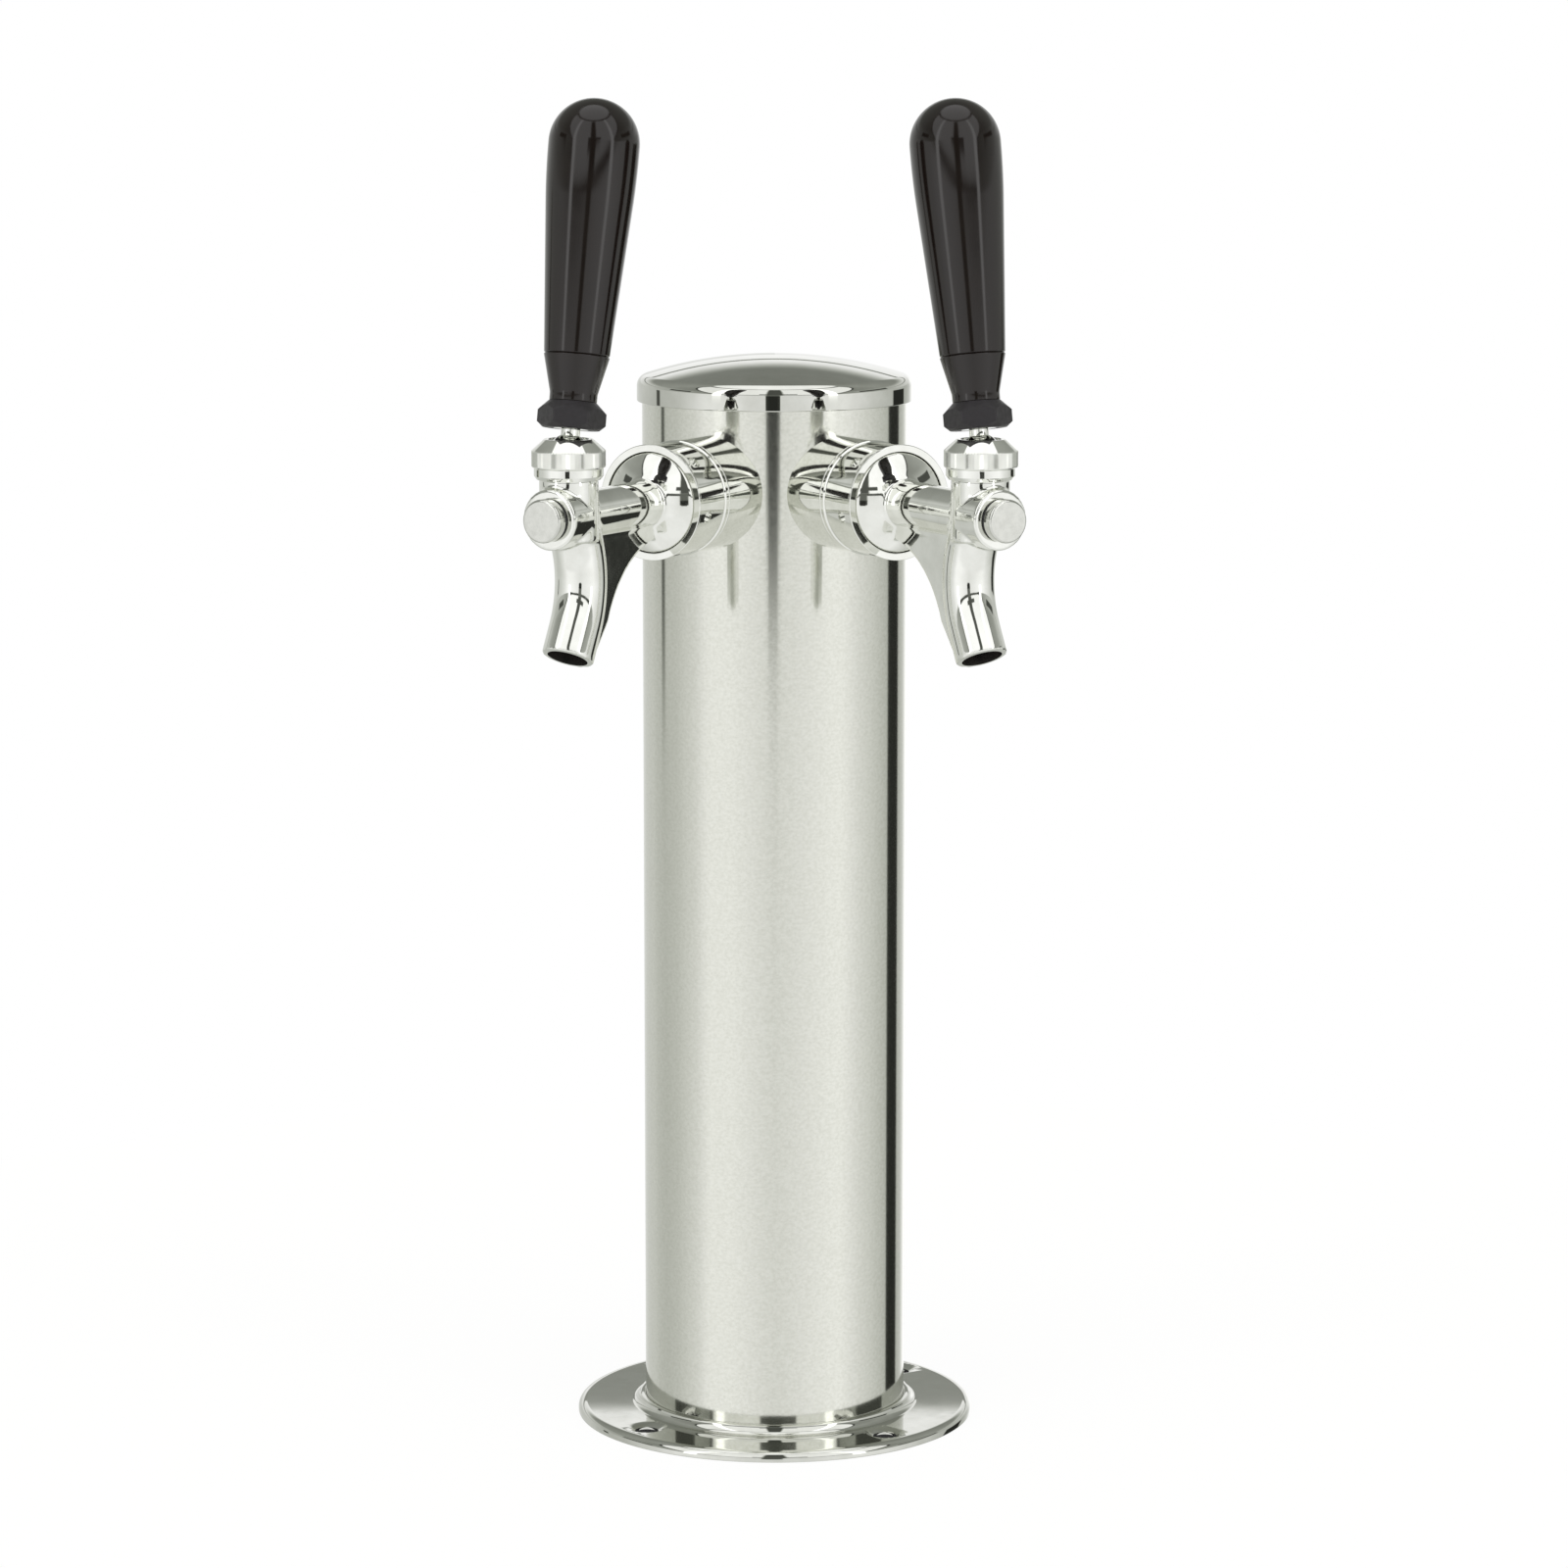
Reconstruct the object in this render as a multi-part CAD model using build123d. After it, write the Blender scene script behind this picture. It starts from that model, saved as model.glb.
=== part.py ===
from build123d import *
from math import cos, radians, sin, sqrt, tan
import os

# Two-tap draft beer tower. Millimetres, +Z up, taps towards -Y.
# The origin is on the counter, under the column's axis.
# A "reach" is a distance from the column's axis measured outward along a tap's own horizontal axis.

# Fits
thread_gap = 0.05
slip_gap = 0.3
running_gap = 0.06
seat_gap = 0.3
face_play = 0.1
overrun = 1.0
cut_length = 300.0

# Column, base and cap
column_radius = 38.1
column_wall = 1.3
column_top = 303.4
flange_overhang = 19.9
flange_thickness = 3.0
flange_sheet = 1.6
flange_edge_round = 1.0
flange_lip_wall = 2.0
hub_wall = 1.45
hub_height = 2.3
hub_cove = 1.9
hub_cove_radius = 2.76
bolt_edge_distance = 9.1
bolt_count = 4
bolt_first_angle = 220.6
bolt_hole_radius = 3.4
bolt_sink_radius = 5.6
bolt_sink_depth = 1.0
gasket_play = 0.2
cap_wall = 1.2
cap_skirt = 4.9
cap_round_start = 0.6
cap_dome_radius = 125.0
cap_shoulder = 3.4
sleeve_wall = 16.5
sleeve_low = 5.0
sleeve_tail_clearance = 3.2

# Shank, collar and coupling
tap_drop = 28.2
tap_azimuth = 30.0
collar_length = 14.8
collar_wall = 3.4
collar_round = 0.6
shank_radius = 11.1
shank_tail_gap = 1.9
shank_shoulder_step = 1.5
shank_shoulder_length = 3.5
shank_flange_step = 2.4
shank_flange_length = 2.6
shank_bore_radius = 3.2
shank_mouth_radius = 6.3
shank_mouth_depth = 5.6
washer_overhang = 2.7
washer_seat = 4.3
locknut_wall = 1.6
locknut_length = 5.0
tail_radius = 4.0
tail_bore_radius = 3.0
tail_insert = 6.0
tail_bend = 9.0
tail_drop = 36.0
barb_step = 0.9
barb_foot = 0.4
barb_length = 2.7
barb_pitch = 3.4
barb_count = 3
nut_length = 16.0
nut_flange_gap = 0.6
nut_wall = 1.6
nut_rim = 0.4
nut_front_rim_length = 0.9
nut_rear_rim_length = 1.5
nut_lip = 1.5
nut_lip_gap = 0.15
nut_lip_bore_gap = 0.2
nut_hole_radius = 1.8
nut_hole_depth = 1.2
nut_hole_count = 6
nut_hole_first_angle = -14.0
nut_hole_setback = 5.7
coupling_washer_thickness = 1.6
coupling_washer_inset = 1.7

# Faucet body
body_thread_length = 8.6
dome_rise = 4.6
dome_setback = 0.4
arm_radius = 6.5
arm_length = 42.0
barrel_bore_radius = 6.8
barrel_wall = 1.2
barrel_low_drop = 6.5
barrel_neck_wall = 0.9
barrel_neck_height = 3.0
barrel_shoulder_rise = 10.2
boss_step = 0.3
boss_length = 10.2
rear_chamber_radius = 6.4
rear_chamber_depth = 11.5
guide_radius = 4.66
spout_radius = 7.15
spout_bore_radius = 5.6
spout_outlet_lead = 1.2
spout_outlet_drop = 38.4
spout_tilt = 27.0
spout_lead_tilt = 17.0
spout_bend = 28.0
spout_straight = 9.0
web_thickness = 6.0
web_root_gap = 2.0
web_root_drop = 3.2
web_foot_proud = 0.9
web_foot_setback = 1.6
web_waist_rise = 12.6
web_waist_back = 10.87
web_waist_lower = 2.82
web_bulge = 4.2

# Plug, valve and lever
plug_disc_step = 1.0
plug_disc_length = 3.2
plug_round = 0.7
plug_stub_step = 0.24
plug_stub_length = 3.4
plug_gasket_thickness = 0.7
plug_gasket_inset = 0.3
valve_slot_play = 0.55
valve_slot_wall = 0.75
valve_rod_radius = 2.3
valve_washer_play = 1.0
valve_washer_length = 2.4
valve_nut_flats = 8.0
valve_nut_length = 3.0
valve_rod_tip = 1.0
ball_radius = 6.0
ball_seat_gap = 0.08
ball_washer_thickness = 1.9
friction_washer_thickness = 1.4
lever_lean = 9.5
lever_open_angle = 34.5
lever_neck_radius = 2.6
lever_stem_radius = 1.3
lever_tip_radius = 2.2
lever_tip_rise = 1.3
lever_thread_radius = 4.76
lever_thread_length = 27.0
stem_relief_inset = 0.1
stem_relief_rise = 1.0

# Bonnet
bonnet_foot_wall = 1.0
bonnet_foot_rise = 1.0
bonnet_band_step = 0.7
bonnet_knurl_step = 0.5
bonnet_knurl_bevel = 0.3
bonnet_band_height = 3.1
bonnet_knurl_height = 5.1
bonnet_rim_wall = 1.1
bonnet_rim_rise = 4.6
bonnet_rim_bore = 5.5
bonnet_seat_rise = 2.7
bonnet_slot_count = 6
bonnet_slot_width = 1.2
bonnet_slot_height = 1.9
bonnet_slot_depth = 0.8

# Handle, as heights along the lever from the pivot
ferrule_gap = 1.25
ferrule_height = 7.4
ferrule_corner_radius = 9.4
ferrule_end_radius = 7.7
ferrule_chamfer = 1.7
ferrule_sides = 6
handle_length = 81.8
handle_top_radius = 12.35
handle_shoulder_radius = 11.9
handle_shoulder_height = 54.5
handle_line_radius = 8.9
handle_line_height = 12.6
handle_line_groove = 0.3
handle_neck_radius = 6.45
handle_neck_height = 2.2
insert_wall = 0.69
insert_length = 20.0

# Column and base places
column_bore_radius = column_radius - column_wall
flange_radius = column_radius + flange_overhang
hub_radius = column_radius + thread_gap + hub_wall
bolt_circle_radius = flange_radius - bolt_edge_distance
cap_inner_radius = column_radius + slip_gap
cap_radius = cap_inner_radius + cap_wall
cap_low = column_top - cap_skirt
tap_height = column_top - tap_drop
tail_low = tap_height - tail_drop

# Radii that fit one inside the next, from the shank out to the nut
shank_shoulder_radius = shank_radius + shank_shoulder_step
collar_radius = shank_shoulder_radius + collar_wall
shank_flange_radius = shank_radius + shank_flange_step
nut_thread_radius = shank_flange_radius + nut_flange_gap
nut_radius = nut_thread_radius + nut_wall

# Reaches along the tap, from the column out to the boss
shank_tail_reach = (shank_radius + shank_tail_gap) / tan(radians(tap_azimuth))
collar_face = column_radius + collar_length
nut_rear = collar_face + face_play
nut_front = nut_rear + nut_length
shank_flange_rear = nut_rear + nut_lip + nut_lip_gap
shank_face = shank_flange_rear + shank_flange_length
body_rear = shank_face + coupling_washer_thickness
body_thread_front = body_rear + body_thread_length
chamber_front = body_rear + rear_chamber_depth
lever_reach = nut_front + arm_length
boss_face = lever_reach + boss_length

# Barrel, bonnet and lever
shoulder_height = tap_height + barrel_shoulder_rise
neck_top = shoulder_height + barrel_neck_height
friction_washer_low = neck_top + ball_washer_thickness
pivot_height = friction_washer_low + friction_washer_thickness
barrel_radius = barrel_bore_radius + barrel_wall
barrel_neck_radius = barrel_bore_radius + barrel_neck_wall
boss_radius = barrel_radius + boss_step
lever_tip_drop = pivot_height - tap_height - lever_tip_rise
ferrule_start = ball_radius + ferrule_gap
handle_base = ferrule_start + ferrule_height

# Plug and valve
plug_stub_radius = guide_radius + plug_stub_step
plug_disc_radius = plug_stub_radius + plug_disc_step
valve_slot_half_width = lever_tip_radius + valve_slot_play
valve_slot_depth = lever_tip_radius - lever_tip_rise + seat_gap
block_half_length = valve_slot_half_width + valve_slot_wall
block_centre = lever_reach + lever_tip_drop * sin(radians(lever_lean))
block_front = block_centre + block_half_length
valve_washer_front = chamber_front - seat_gap
valve_nut_front = valve_washer_front - valve_washer_length
valve_rod_rear = valve_nut_front - valve_nut_length - valve_rod_tip

side_plane = Plane(origin=(0, 0, 0), x_dir=(0, -1, 0), z_dir=(-1, 0, 0))
tap_axis = Axis((0, 0, tap_height), (0, -1, 0))
lever_place = Pos(0, -lever_reach, pivot_height) * Rot(-lever_lean, 0, 0)


def along_tap(start, end, radius):
    """Cylinder on the tap's axis between two reaches."""
    middle = Pos(0, -(start + end) / 2, tap_height)
    return middle * Rot(90, 0, 0) * Cylinder(radius, end - start)


def upright(low, high, radius, reach=0.0):
    """Vertical cylinder between two heights, at a reach in front of the column's axis."""
    return Pos(0, -reach, (low + high) / 2) * Cylinder(radius, high - low)


def turned(points):
    """Solid turned about the vertical axis from (radius, height) corners."""
    outline = Polyline(*points, close=True)
    return revolve(Plane.XZ * make_face(outline), Axis.Z)


def turned_on_tap(points):
    """Solid turned about the tap's axis from (reach, radius) corners."""
    raised = [(reach, tap_height + radius) for reach, radius in points]
    return revolve(side_plane * make_face(Polyline(*raised, close=True)), tap_axis)


def hexagonal(flats, start, end):
    """Hexagonal bar on the tap's axis, one corner up."""
    section = RegularPolygon(flats / 2, 6, major_radius=False, rotation=30)
    bar = extrude(section, end - start)
    return Pos(0, -start, tap_height) * Rot(90, 0, 0) * bar


# ---- Column, base and cap ----

def make_column():
    tube = upright(flange_thickness, column_top, column_radius)
    tube -= upright(flange_thickness, column_top, column_bore_radius)
    for side in (-1, 1):
        hole = along_tap(0, collar_face, shank_radius + slip_gap)
        tube -= Rot(0, 0, side * tap_azimuth) * hole
    return tube


def bolt_places(height):
    """Places of the base screws round the bolt circle."""
    for index in range(bolt_count):
        angle = bolt_first_angle + index * 360 / bolt_count
        yield Rot(0, 0, angle) * Pos(bolt_circle_radius, 0, height)


def make_base_flange():
    """Pressed disc with its edge turned down, and a low hub with a cove round the column."""
    seat_radius = column_radius + thread_gap
    underside = flange_thickness - flange_sheet
    lip_inner = column_bore_radius
    hub_top = flange_thickness + hub_height
    cove_foot = hub_radius + hub_cove
    rim_inner = flange_radius - flange_lip_wall
    with BuildSketch(Plane.XZ) as section:
        with BuildLine():
            Polyline((flange_radius, flange_edge_round), (flange_radius, 0), (rim_inner, 0),
                     (rim_inner, underside), (lip_inner + flange_lip_wall, underside),
                     (lip_inner + flange_lip_wall, 0), (lip_inner, 0), (lip_inner, flange_thickness),
                     (seat_radius, flange_thickness), (seat_radius, hub_top), (hub_radius, hub_top))
            RadiusArc((hub_radius, hub_top), (cove_foot, flange_thickness), -hub_cove_radius)
            Line((cove_foot, flange_thickness), (flange_radius - flange_edge_round * 2, flange_thickness))
            RadiusArc((flange_radius - flange_edge_round * 2, flange_thickness),
                      (flange_radius, flange_edge_round), flange_edge_round * 2)
        make_face()
    disc = revolve(section.sketch, Axis.Z)
    for place in bolt_places(flange_thickness):
        disc -= place * Cylinder(bolt_hole_radius, cut_length)
        sink = Cone(bolt_hole_radius, bolt_sink_radius, bolt_sink_depth)
        disc -= place * Pos(0, 0, -bolt_sink_depth / 2) * sink
    return disc


def make_base_gasket():
    """Flat rubber ring that fills the flange's hollow underside."""
    thickness = flange_thickness - flange_sheet
    ring = upright(0, thickness, flange_radius - flange_lip_wall - gasket_play)
    ring -= upright(0, thickness, column_bore_radius + flange_lip_wall + gasket_play)
    for place in bolt_places(0):
        ring -= place * Cylinder(bolt_hole_radius, cut_length)
    return ring


def domed_plug(radius, dome, shoulder):
    """Solid under a spherical dome, rounded into a vertical side, down to the cap's lower edge."""
    turn_height = column_top - cap_round_start
    turn_radius = radius - shoulder
    turn_rise = sqrt((dome - shoulder) ** 2 - turn_radius ** 2)
    dome_centre = turn_height - turn_rise
    reach_scale = dome / (dome - shoulder)
    blend = (turn_radius * reach_scale, dome_centre + turn_rise * reach_scale)
    crown = dome_centre + dome
    with BuildSketch(Plane.XZ) as section:
        with BuildLine():
            Line((0, cap_low), (radius, cap_low))
            Line((radius, cap_low), (radius, turn_height))
            RadiusArc((radius, turn_height), blend, -shoulder)
            RadiusArc(blend, (0, crown), -dome)
            Line((0, crown), (0, cap_low))
        make_face()
    return revolve(section.sketch, Axis.Z)


def make_tower_cap():
    """Spun cap: a shallow dome on a short skirt that slips over the column's end."""
    outer = domed_plug(cap_radius, cap_dome_radius, cap_shoulder)
    return outer - domed_plug(cap_inner_radius, cap_dome_radius - cap_wall, cap_shoulder - cap_wall)


def make_insulation_sleeve():
    """Foam tube inside the column, below the shanks."""
    high = tail_low - sleeve_tail_clearance
    outer_radius = column_bore_radius - slip_gap
    sleeve = upright(sleeve_low, high, outer_radius)
    return sleeve - upright(sleeve_low, high, outer_radius - sleeve_wall)


# ---- Shank, collar and coupling ----

def make_shank_collar():
    """Chrome collar with a saddle-shaped back that seats on the column."""
    collar = along_tap(column_radius - collar_radius, collar_face, collar_radius)
    collar = fillet(collar.edges().group_by(Axis.Y)[0], collar_round)
    collar -= upright(0, column_top, column_radius + thread_gap)
    collar -= along_tap(0, collar_face, shank_radius + thread_gap)
    shoulder_rear = collar_face - shank_shoulder_length
    return collar - along_tap(shoulder_rear, collar_face + overrun, shank_shoulder_radius + thread_gap)


def make_shank():
    """Threaded shank: tail end, shoulder in the collar, neck for the nut's lip and front flange."""
    body = along_tap(shank_tail_reach, shank_face, shank_radius)
    shoulder_rear = collar_face - shank_shoulder_length
    body += along_tap(shoulder_rear, collar_face, shank_shoulder_radius)
    body += along_tap(shank_flange_rear, shank_face, shank_flange_radius)
    body -= along_tap(shank_tail_reach, shank_face, shank_bore_radius)
    body -= along_tap(shank_face - shank_mouth_depth, shank_face, shank_mouth_radius)
    return body - along_tap(shank_tail_reach, shank_tail_reach + tail_insert, tail_radius + thread_gap)


def make_shank_washer():
    """Saddle washer: round front that follows the column's inside, flat back for the locknut."""
    washer = along_tap(column_bore_radius - washer_seat, column_bore_radius, shank_radius + washer_overhang)
    washer &= upright(0, column_top, column_bore_radius - face_play)
    return washer - along_tap(0, column_radius, shank_radius + thread_gap)


def make_shank_locknut():
    front = column_bore_radius - washer_seat - thread_gap
    nut = hexagonal((shank_radius + locknut_wall) * 2, front - locknut_length, front)
    return nut - along_tap(0, collar_face, shank_radius + thread_gap)


def make_tail_elbow():
    """Bent tail tube soldered in the shank's rear, turning down to a barbed end for the beer line."""
    start = shank_tail_reach + tail_insert
    down_reach = shank_tail_reach - tail_bend
    corners = [(start, tap_height), (down_reach, tap_height), (down_reach, tail_low)]
    with BuildLine(side_plane) as run:
        FilletPolyline(*corners, radius=tail_bend)
    section = Plane(origin=(0, -start, tap_height), z_dir=(0, 1, 0))
    tube = sweep(section * Circle(tail_radius), run.line)
    for index in range(barb_count):
        height = tail_low + barb_foot + (index + 0.5) * barb_pitch
        tube += Pos(0, -down_reach, height) * Cone(tail_radius, tail_radius + barb_step, barb_length)
    return tube - sweep(section * Circle(tail_bore_radius), run.line)


def make_coupling_nut(mirror_sign):
    """Round spanner nut with a raised rim at each end and a lip behind the shank's flange."""
    rim = nut_radius + nut_rim
    lip_bore = shank_radius + nut_lip_bore_gap
    lip_front = nut_rear + nut_lip
    nut = turned_on_tap([
        (nut_rear, lip_bore), (nut_rear, rim), (nut_rear + nut_rear_rim_length, rim),
        (nut_rear + nut_rear_rim_length + nut_rim, nut_radius),
        (nut_front - nut_front_rim_length - nut_rim, nut_radius),
        (nut_front - nut_front_rim_length, rim), (nut_front, rim), (nut_front, nut_thread_radius),
        (lip_front, nut_thread_radius), (lip_front, lip_bore)])
    hole_reach = nut_front - nut_hole_setback
    for index in range(nut_hole_count):
        angle = nut_hole_first_angle + index * 360 / nut_hole_count
        spin = Pos(0, -hole_reach, tap_height) * Rot(0, -mirror_sign * angle, 0)
        hole = Rot(0, 90, 0) * Cylinder(nut_hole_radius, nut_hole_depth * 2)
        nut -= spin * Pos(mirror_sign * nut_radius, 0, 0) * hole
    return nut


def make_coupling_washer():
    washer = along_tap(shank_face, body_rear, nut_thread_radius - coupling_washer_inset)
    return washer - along_tap(shank_face, body_rear, rear_chamber_radius)


# ---- Faucet body ----

def slanted(origin, tilt, distance):
    """Point at a distance from another, along a line that drops outward at a tilt from the vertical."""
    return (origin[0] + distance * sin(radians(tilt)), origin[1] - distance * cos(radians(tilt)))


def across(origin, tilt, distance):
    """Point at a distance outward from another, square to a line at that tilt."""
    return (origin[0] + distance * cos(radians(tilt)), origin[1] + distance * sin(radians(tilt)))


def spout_path():
    """Spout centre line in the side plane: straight in, one bend forward, straight out."""
    outlet = (lever_reach + spout_outlet_lead, tap_height - spout_outlet_drop)
    bend_end = slanted(outlet, spout_tilt, -spout_straight)
    centre = across(bend_end, spout_tilt, spout_bend)
    bend_middle = across(centre, (spout_tilt - spout_lead_tilt) / 2, -spout_bend)
    bend_start = across(centre, -spout_lead_tilt, -spout_bend)
    rise = tap_height - bend_start[1]
    start = (bend_start[0] + rise * tan(radians(spout_lead_tilt)), tap_height)
    return start, bend_start, bend_middle, bend_end, outlet


def spout_tube(radius, overshoot=0.0):
    """Round bar along the spout's centre line."""
    start, bend_start, bend_middle, bend_end, outlet = spout_path()
    end = slanted(outlet, spout_tilt, overshoot)
    with BuildLine(side_plane) as run:
        Line(start, bend_start)
        ThreePointArc(bend_start, bend_middle, bend_end)
        Line(bend_end, end)
    lead = radians(spout_lead_tilt)
    section = Plane(origin=(0, -start[0], start[1]), x_dir=(1, 0, 0), z_dir=(0, sin(lead), -cos(lead)))
    return sweep(section * Circle(radius), run.line)


def make_web():
    """Flat keel under the arm whose rear edge sweeps down to the back of the spout."""
    start, bend_start, bend_middle, bend_end, outlet = spout_path()
    root = (nut_front + web_root_gap, tap_height - arm_radius - web_root_drop)
    foot = slanted(outlet, spout_tilt, -web_foot_setback)
    foot_back = across(foot, spout_tilt, -(spout_radius + web_foot_proud))
    waist = slanted(outlet, spout_tilt, -web_waist_rise)
    waist_back = (waist[0] - web_waist_back, waist[1] - web_waist_lower)
    with BuildSketch(side_plane) as plate:
        with BuildLine():
            Line((root[0], tap_height), root)
            SagittaArc(root, waist_back, web_bulge)
            Line(waist_back, foot_back)
            Line(foot_back, foot)
            Line(foot, bend_middle)
            Line(bend_middle, (bend_start[0], tap_height))
            Line((bend_start[0], tap_height), (root[0], tap_height))
        make_face()
    return extrude(plate.sketch, web_thickness / 2, both=True)


def make_dome():
    """Convex shoulder that shows inside the coupling nut's front rim."""
    rear = nut_front - dome_setback
    crest = rear + dome_rise
    edge_radius = nut_thread_radius - face_play
    edge_height = tap_height + edge_radius
    sphere_radius = (edge_radius ** 2 + dome_rise ** 2) / (dome_rise * 2)
    with BuildSketch(side_plane) as section:
        with BuildLine():
            Polyline((crest, tap_height), (body_thread_front, tap_height), (body_thread_front, edge_height),
                     (rear, edge_height))
            RadiusArc((rear, edge_height), (crest, tap_height), sphere_radius)
        make_face()
    return revolve(section.sketch, tap_axis)


def make_stem_relief():
    """Slot over the arm's bore that lets the lever's stem swing back as the tap opens."""
    half_width = lever_tip_radius - stem_relief_inset
    tip_setback = lever_tip_drop * sin(radians(lever_open_angle - lever_lean))
    rear_reach = lever_reach - tip_setback - half_width
    slot = Box(half_width * 2, lever_reach - rear_reach, guide_radius + stem_relief_rise,
               align=(Align.CENTER, Align.MIN, Align.MIN))
    return Pos(0, -lever_reach, tap_height) * slot


def make_faucet_body():
    """Cast body: threaded rear, dome, arm, upright barrel, front boss, spout and keel."""
    body = along_tap(body_rear, body_thread_front, nut_thread_radius - thread_gap)
    body += make_dome()
    body += along_tap(body_thread_front, lever_reach, arm_radius)
    body += upright(tap_height - barrel_low_drop, shoulder_height, barrel_radius, lever_reach)
    body += upright(shoulder_height - overrun, neck_top, barrel_neck_radius, lever_reach)
    body += along_tap(lever_reach, boss_face, boss_radius)
    body += make_web()
    body += spout_tube(spout_radius)
    body -= along_tap(body_rear, chamber_front, rear_chamber_radius)
    body -= along_tap(body_rear, boss_face, guide_radius)
    body -= along_tap(boss_face - plug_stub_length - seat_gap, boss_face, plug_stub_radius + thread_gap)
    body -= upright(tap_height, neck_top, barrel_bore_radius, lever_reach)
    body -= make_stem_relief()
    return body - spout_tube(spout_bore_radius, overrun)


# ---- Plug and valve ----

def make_plug_gasket():
    gasket = along_tap(boss_face, boss_face + plug_gasket_thickness, plug_disc_radius - plug_gasket_inset)
    return gasket - along_tap(boss_face, boss_face + plug_gasket_thickness, plug_stub_radius + thread_gap)


def make_front_plug():
    """Screw plug that closes the boss, with a raised round face."""
    disc_rear = boss_face + plug_gasket_thickness
    disc = along_tap(disc_rear, disc_rear + plug_disc_length, plug_disc_radius)
    disc = fillet(disc.edges().group_by(Axis.Y)[0], plug_round)
    return disc + along_tap(boss_face - plug_stub_length, disc_rear, plug_stub_radius)


def make_valve_shaft():
    """Rod through the arm, with a slotted guide block that the lever's tip moves."""
    shaft = along_tap(block_centre - block_half_length, block_front, guide_radius - running_gap)
    shaft += along_tap(valve_rod_rear, block_front, valve_rod_radius)
    slot = Box(guide_radius * 2, valve_slot_half_width * 2, guide_radius * 2,
               align=(Align.CENTER, Align.CENTER, Align.MIN))
    return shaft - Pos(0, -block_centre, tap_height - valve_slot_depth) * slot


def make_valve_washer():
    washer = along_tap(valve_nut_front, valve_washer_front, rear_chamber_radius - valve_washer_play)
    return washer - along_tap(0, boss_face, valve_rod_radius)


def make_valve_nut():
    nut = hexagonal(valve_nut_flats, valve_nut_front - valve_nut_length, valve_nut_front)
    return nut - along_tap(0, boss_face, valve_rod_radius)


# ---- Lever, its washers and the bonnet ----

def seat_ring(low, high):
    """Ring inside the bonnet, hollowed to the lever's ball."""
    ring = upright(low, high, barrel_neck_radius, lever_reach)
    ball = Pos(0, -lever_reach, pivot_height) * Sphere(ball_radius + ball_seat_gap)
    return ring - ball


def make_ball_washer():
    return seat_ring(neck_top, friction_washer_low)


def make_friction_washer():
    return seat_ring(friction_washer_low, pivot_height)


def make_bonnet():
    """Knurled cap nut over the barrel's neck, with a flared mouth for the lever."""
    rim = pivot_height + bonnet_rim_rise
    knurl_low = shoulder_height + bonnet_band_height
    knurl_high = knurl_low + bonnet_knurl_height
    mouth = pivot_height + bonnet_seat_rise
    foot_radius = barrel_neck_radius + bonnet_foot_wall
    band_radius = foot_radius + bonnet_band_step
    knurl_radius = band_radius + bonnet_knurl_step
    with BuildSketch(Plane.XZ) as section:
        with BuildLine():
            Polyline((0, shoulder_height), (foot_radius, shoulder_height),
                     (band_radius, shoulder_height + bonnet_foot_rise), (band_radius, knurl_low),
                     (knurl_radius, knurl_low + bonnet_knurl_bevel), (knurl_radius, knurl_high),
                     (bonnet_rim_bore + bonnet_rim_wall, rim), (0, rim), close=True)
        make_face()
    bonnet = Pos(0, -lever_reach, 0) * revolve(section.sketch, Axis.Z)
    bonnet -= upright(shoulder_height, pivot_height, barrel_neck_radius + thread_gap, lever_reach)
    bonnet -= Pos(0, -lever_reach, pivot_height) * Sphere(ball_radius + ball_seat_gap)
    flare = Cone(sqrt(ball_radius ** 2 - bonnet_seat_rise ** 2), bonnet_rim_bore, rim - mouth)
    bonnet -= Pos(0, -lever_reach, (rim + mouth) / 2) * flare
    slot_height = shoulder_height + bonnet_foot_rise + bonnet_slot_height / 2
    for index in range(bonnet_slot_count):
        turn = Pos(0, -lever_reach, slot_height) * Rot(0, 0, index * 360 / bonnet_slot_count)
        slot = Box(bonnet_slot_depth * 2, bonnet_slot_width, bonnet_slot_height)
        bonnet -= turn * Pos(band_radius, 0, 0) * slot
    return bonnet


def make_lever():
    """Lever with its pivot ball, slender stem and tip below, neck and threaded stub above."""
    lever = Sphere(ball_radius)
    lever += Pos(0, 0, ferrule_start / 2) * Cylinder(lever_neck_radius, ferrule_start)
    thread_middle = ferrule_start + lever_thread_length / 2
    lever += Pos(0, 0, thread_middle) * Cylinder(lever_thread_radius, lever_thread_length)
    lever += Pos(0, 0, -lever_tip_drop / 2) * Cylinder(lever_stem_radius, lever_tip_drop)
    lever += Pos(0, 0, -lever_tip_drop) * Sphere(lever_tip_radius)
    return lever_place * lever


# ---- Handle ----

def make_handle_ferrule():
    """Hexagonal jam nut under the handle, its corners turned off at both ends."""
    blank = extrude(RegularPolygon(ferrule_corner_radius, ferrule_sides, rotation=30), ferrule_height)
    turned_blank = turned([
        (0, ferrule_start), (ferrule_end_radius, ferrule_start),
        (ferrule_corner_radius, ferrule_start + ferrule_chamfer),
        (ferrule_corner_radius, handle_base - ferrule_chamfer),
        (handle_neck_radius, handle_base), (0, handle_base)])
    nut = turned_blank & Pos(0, 0, ferrule_start) * blank
    return lever_place * (nut - Cylinder(lever_thread_radius + thread_gap, cut_length))


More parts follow.
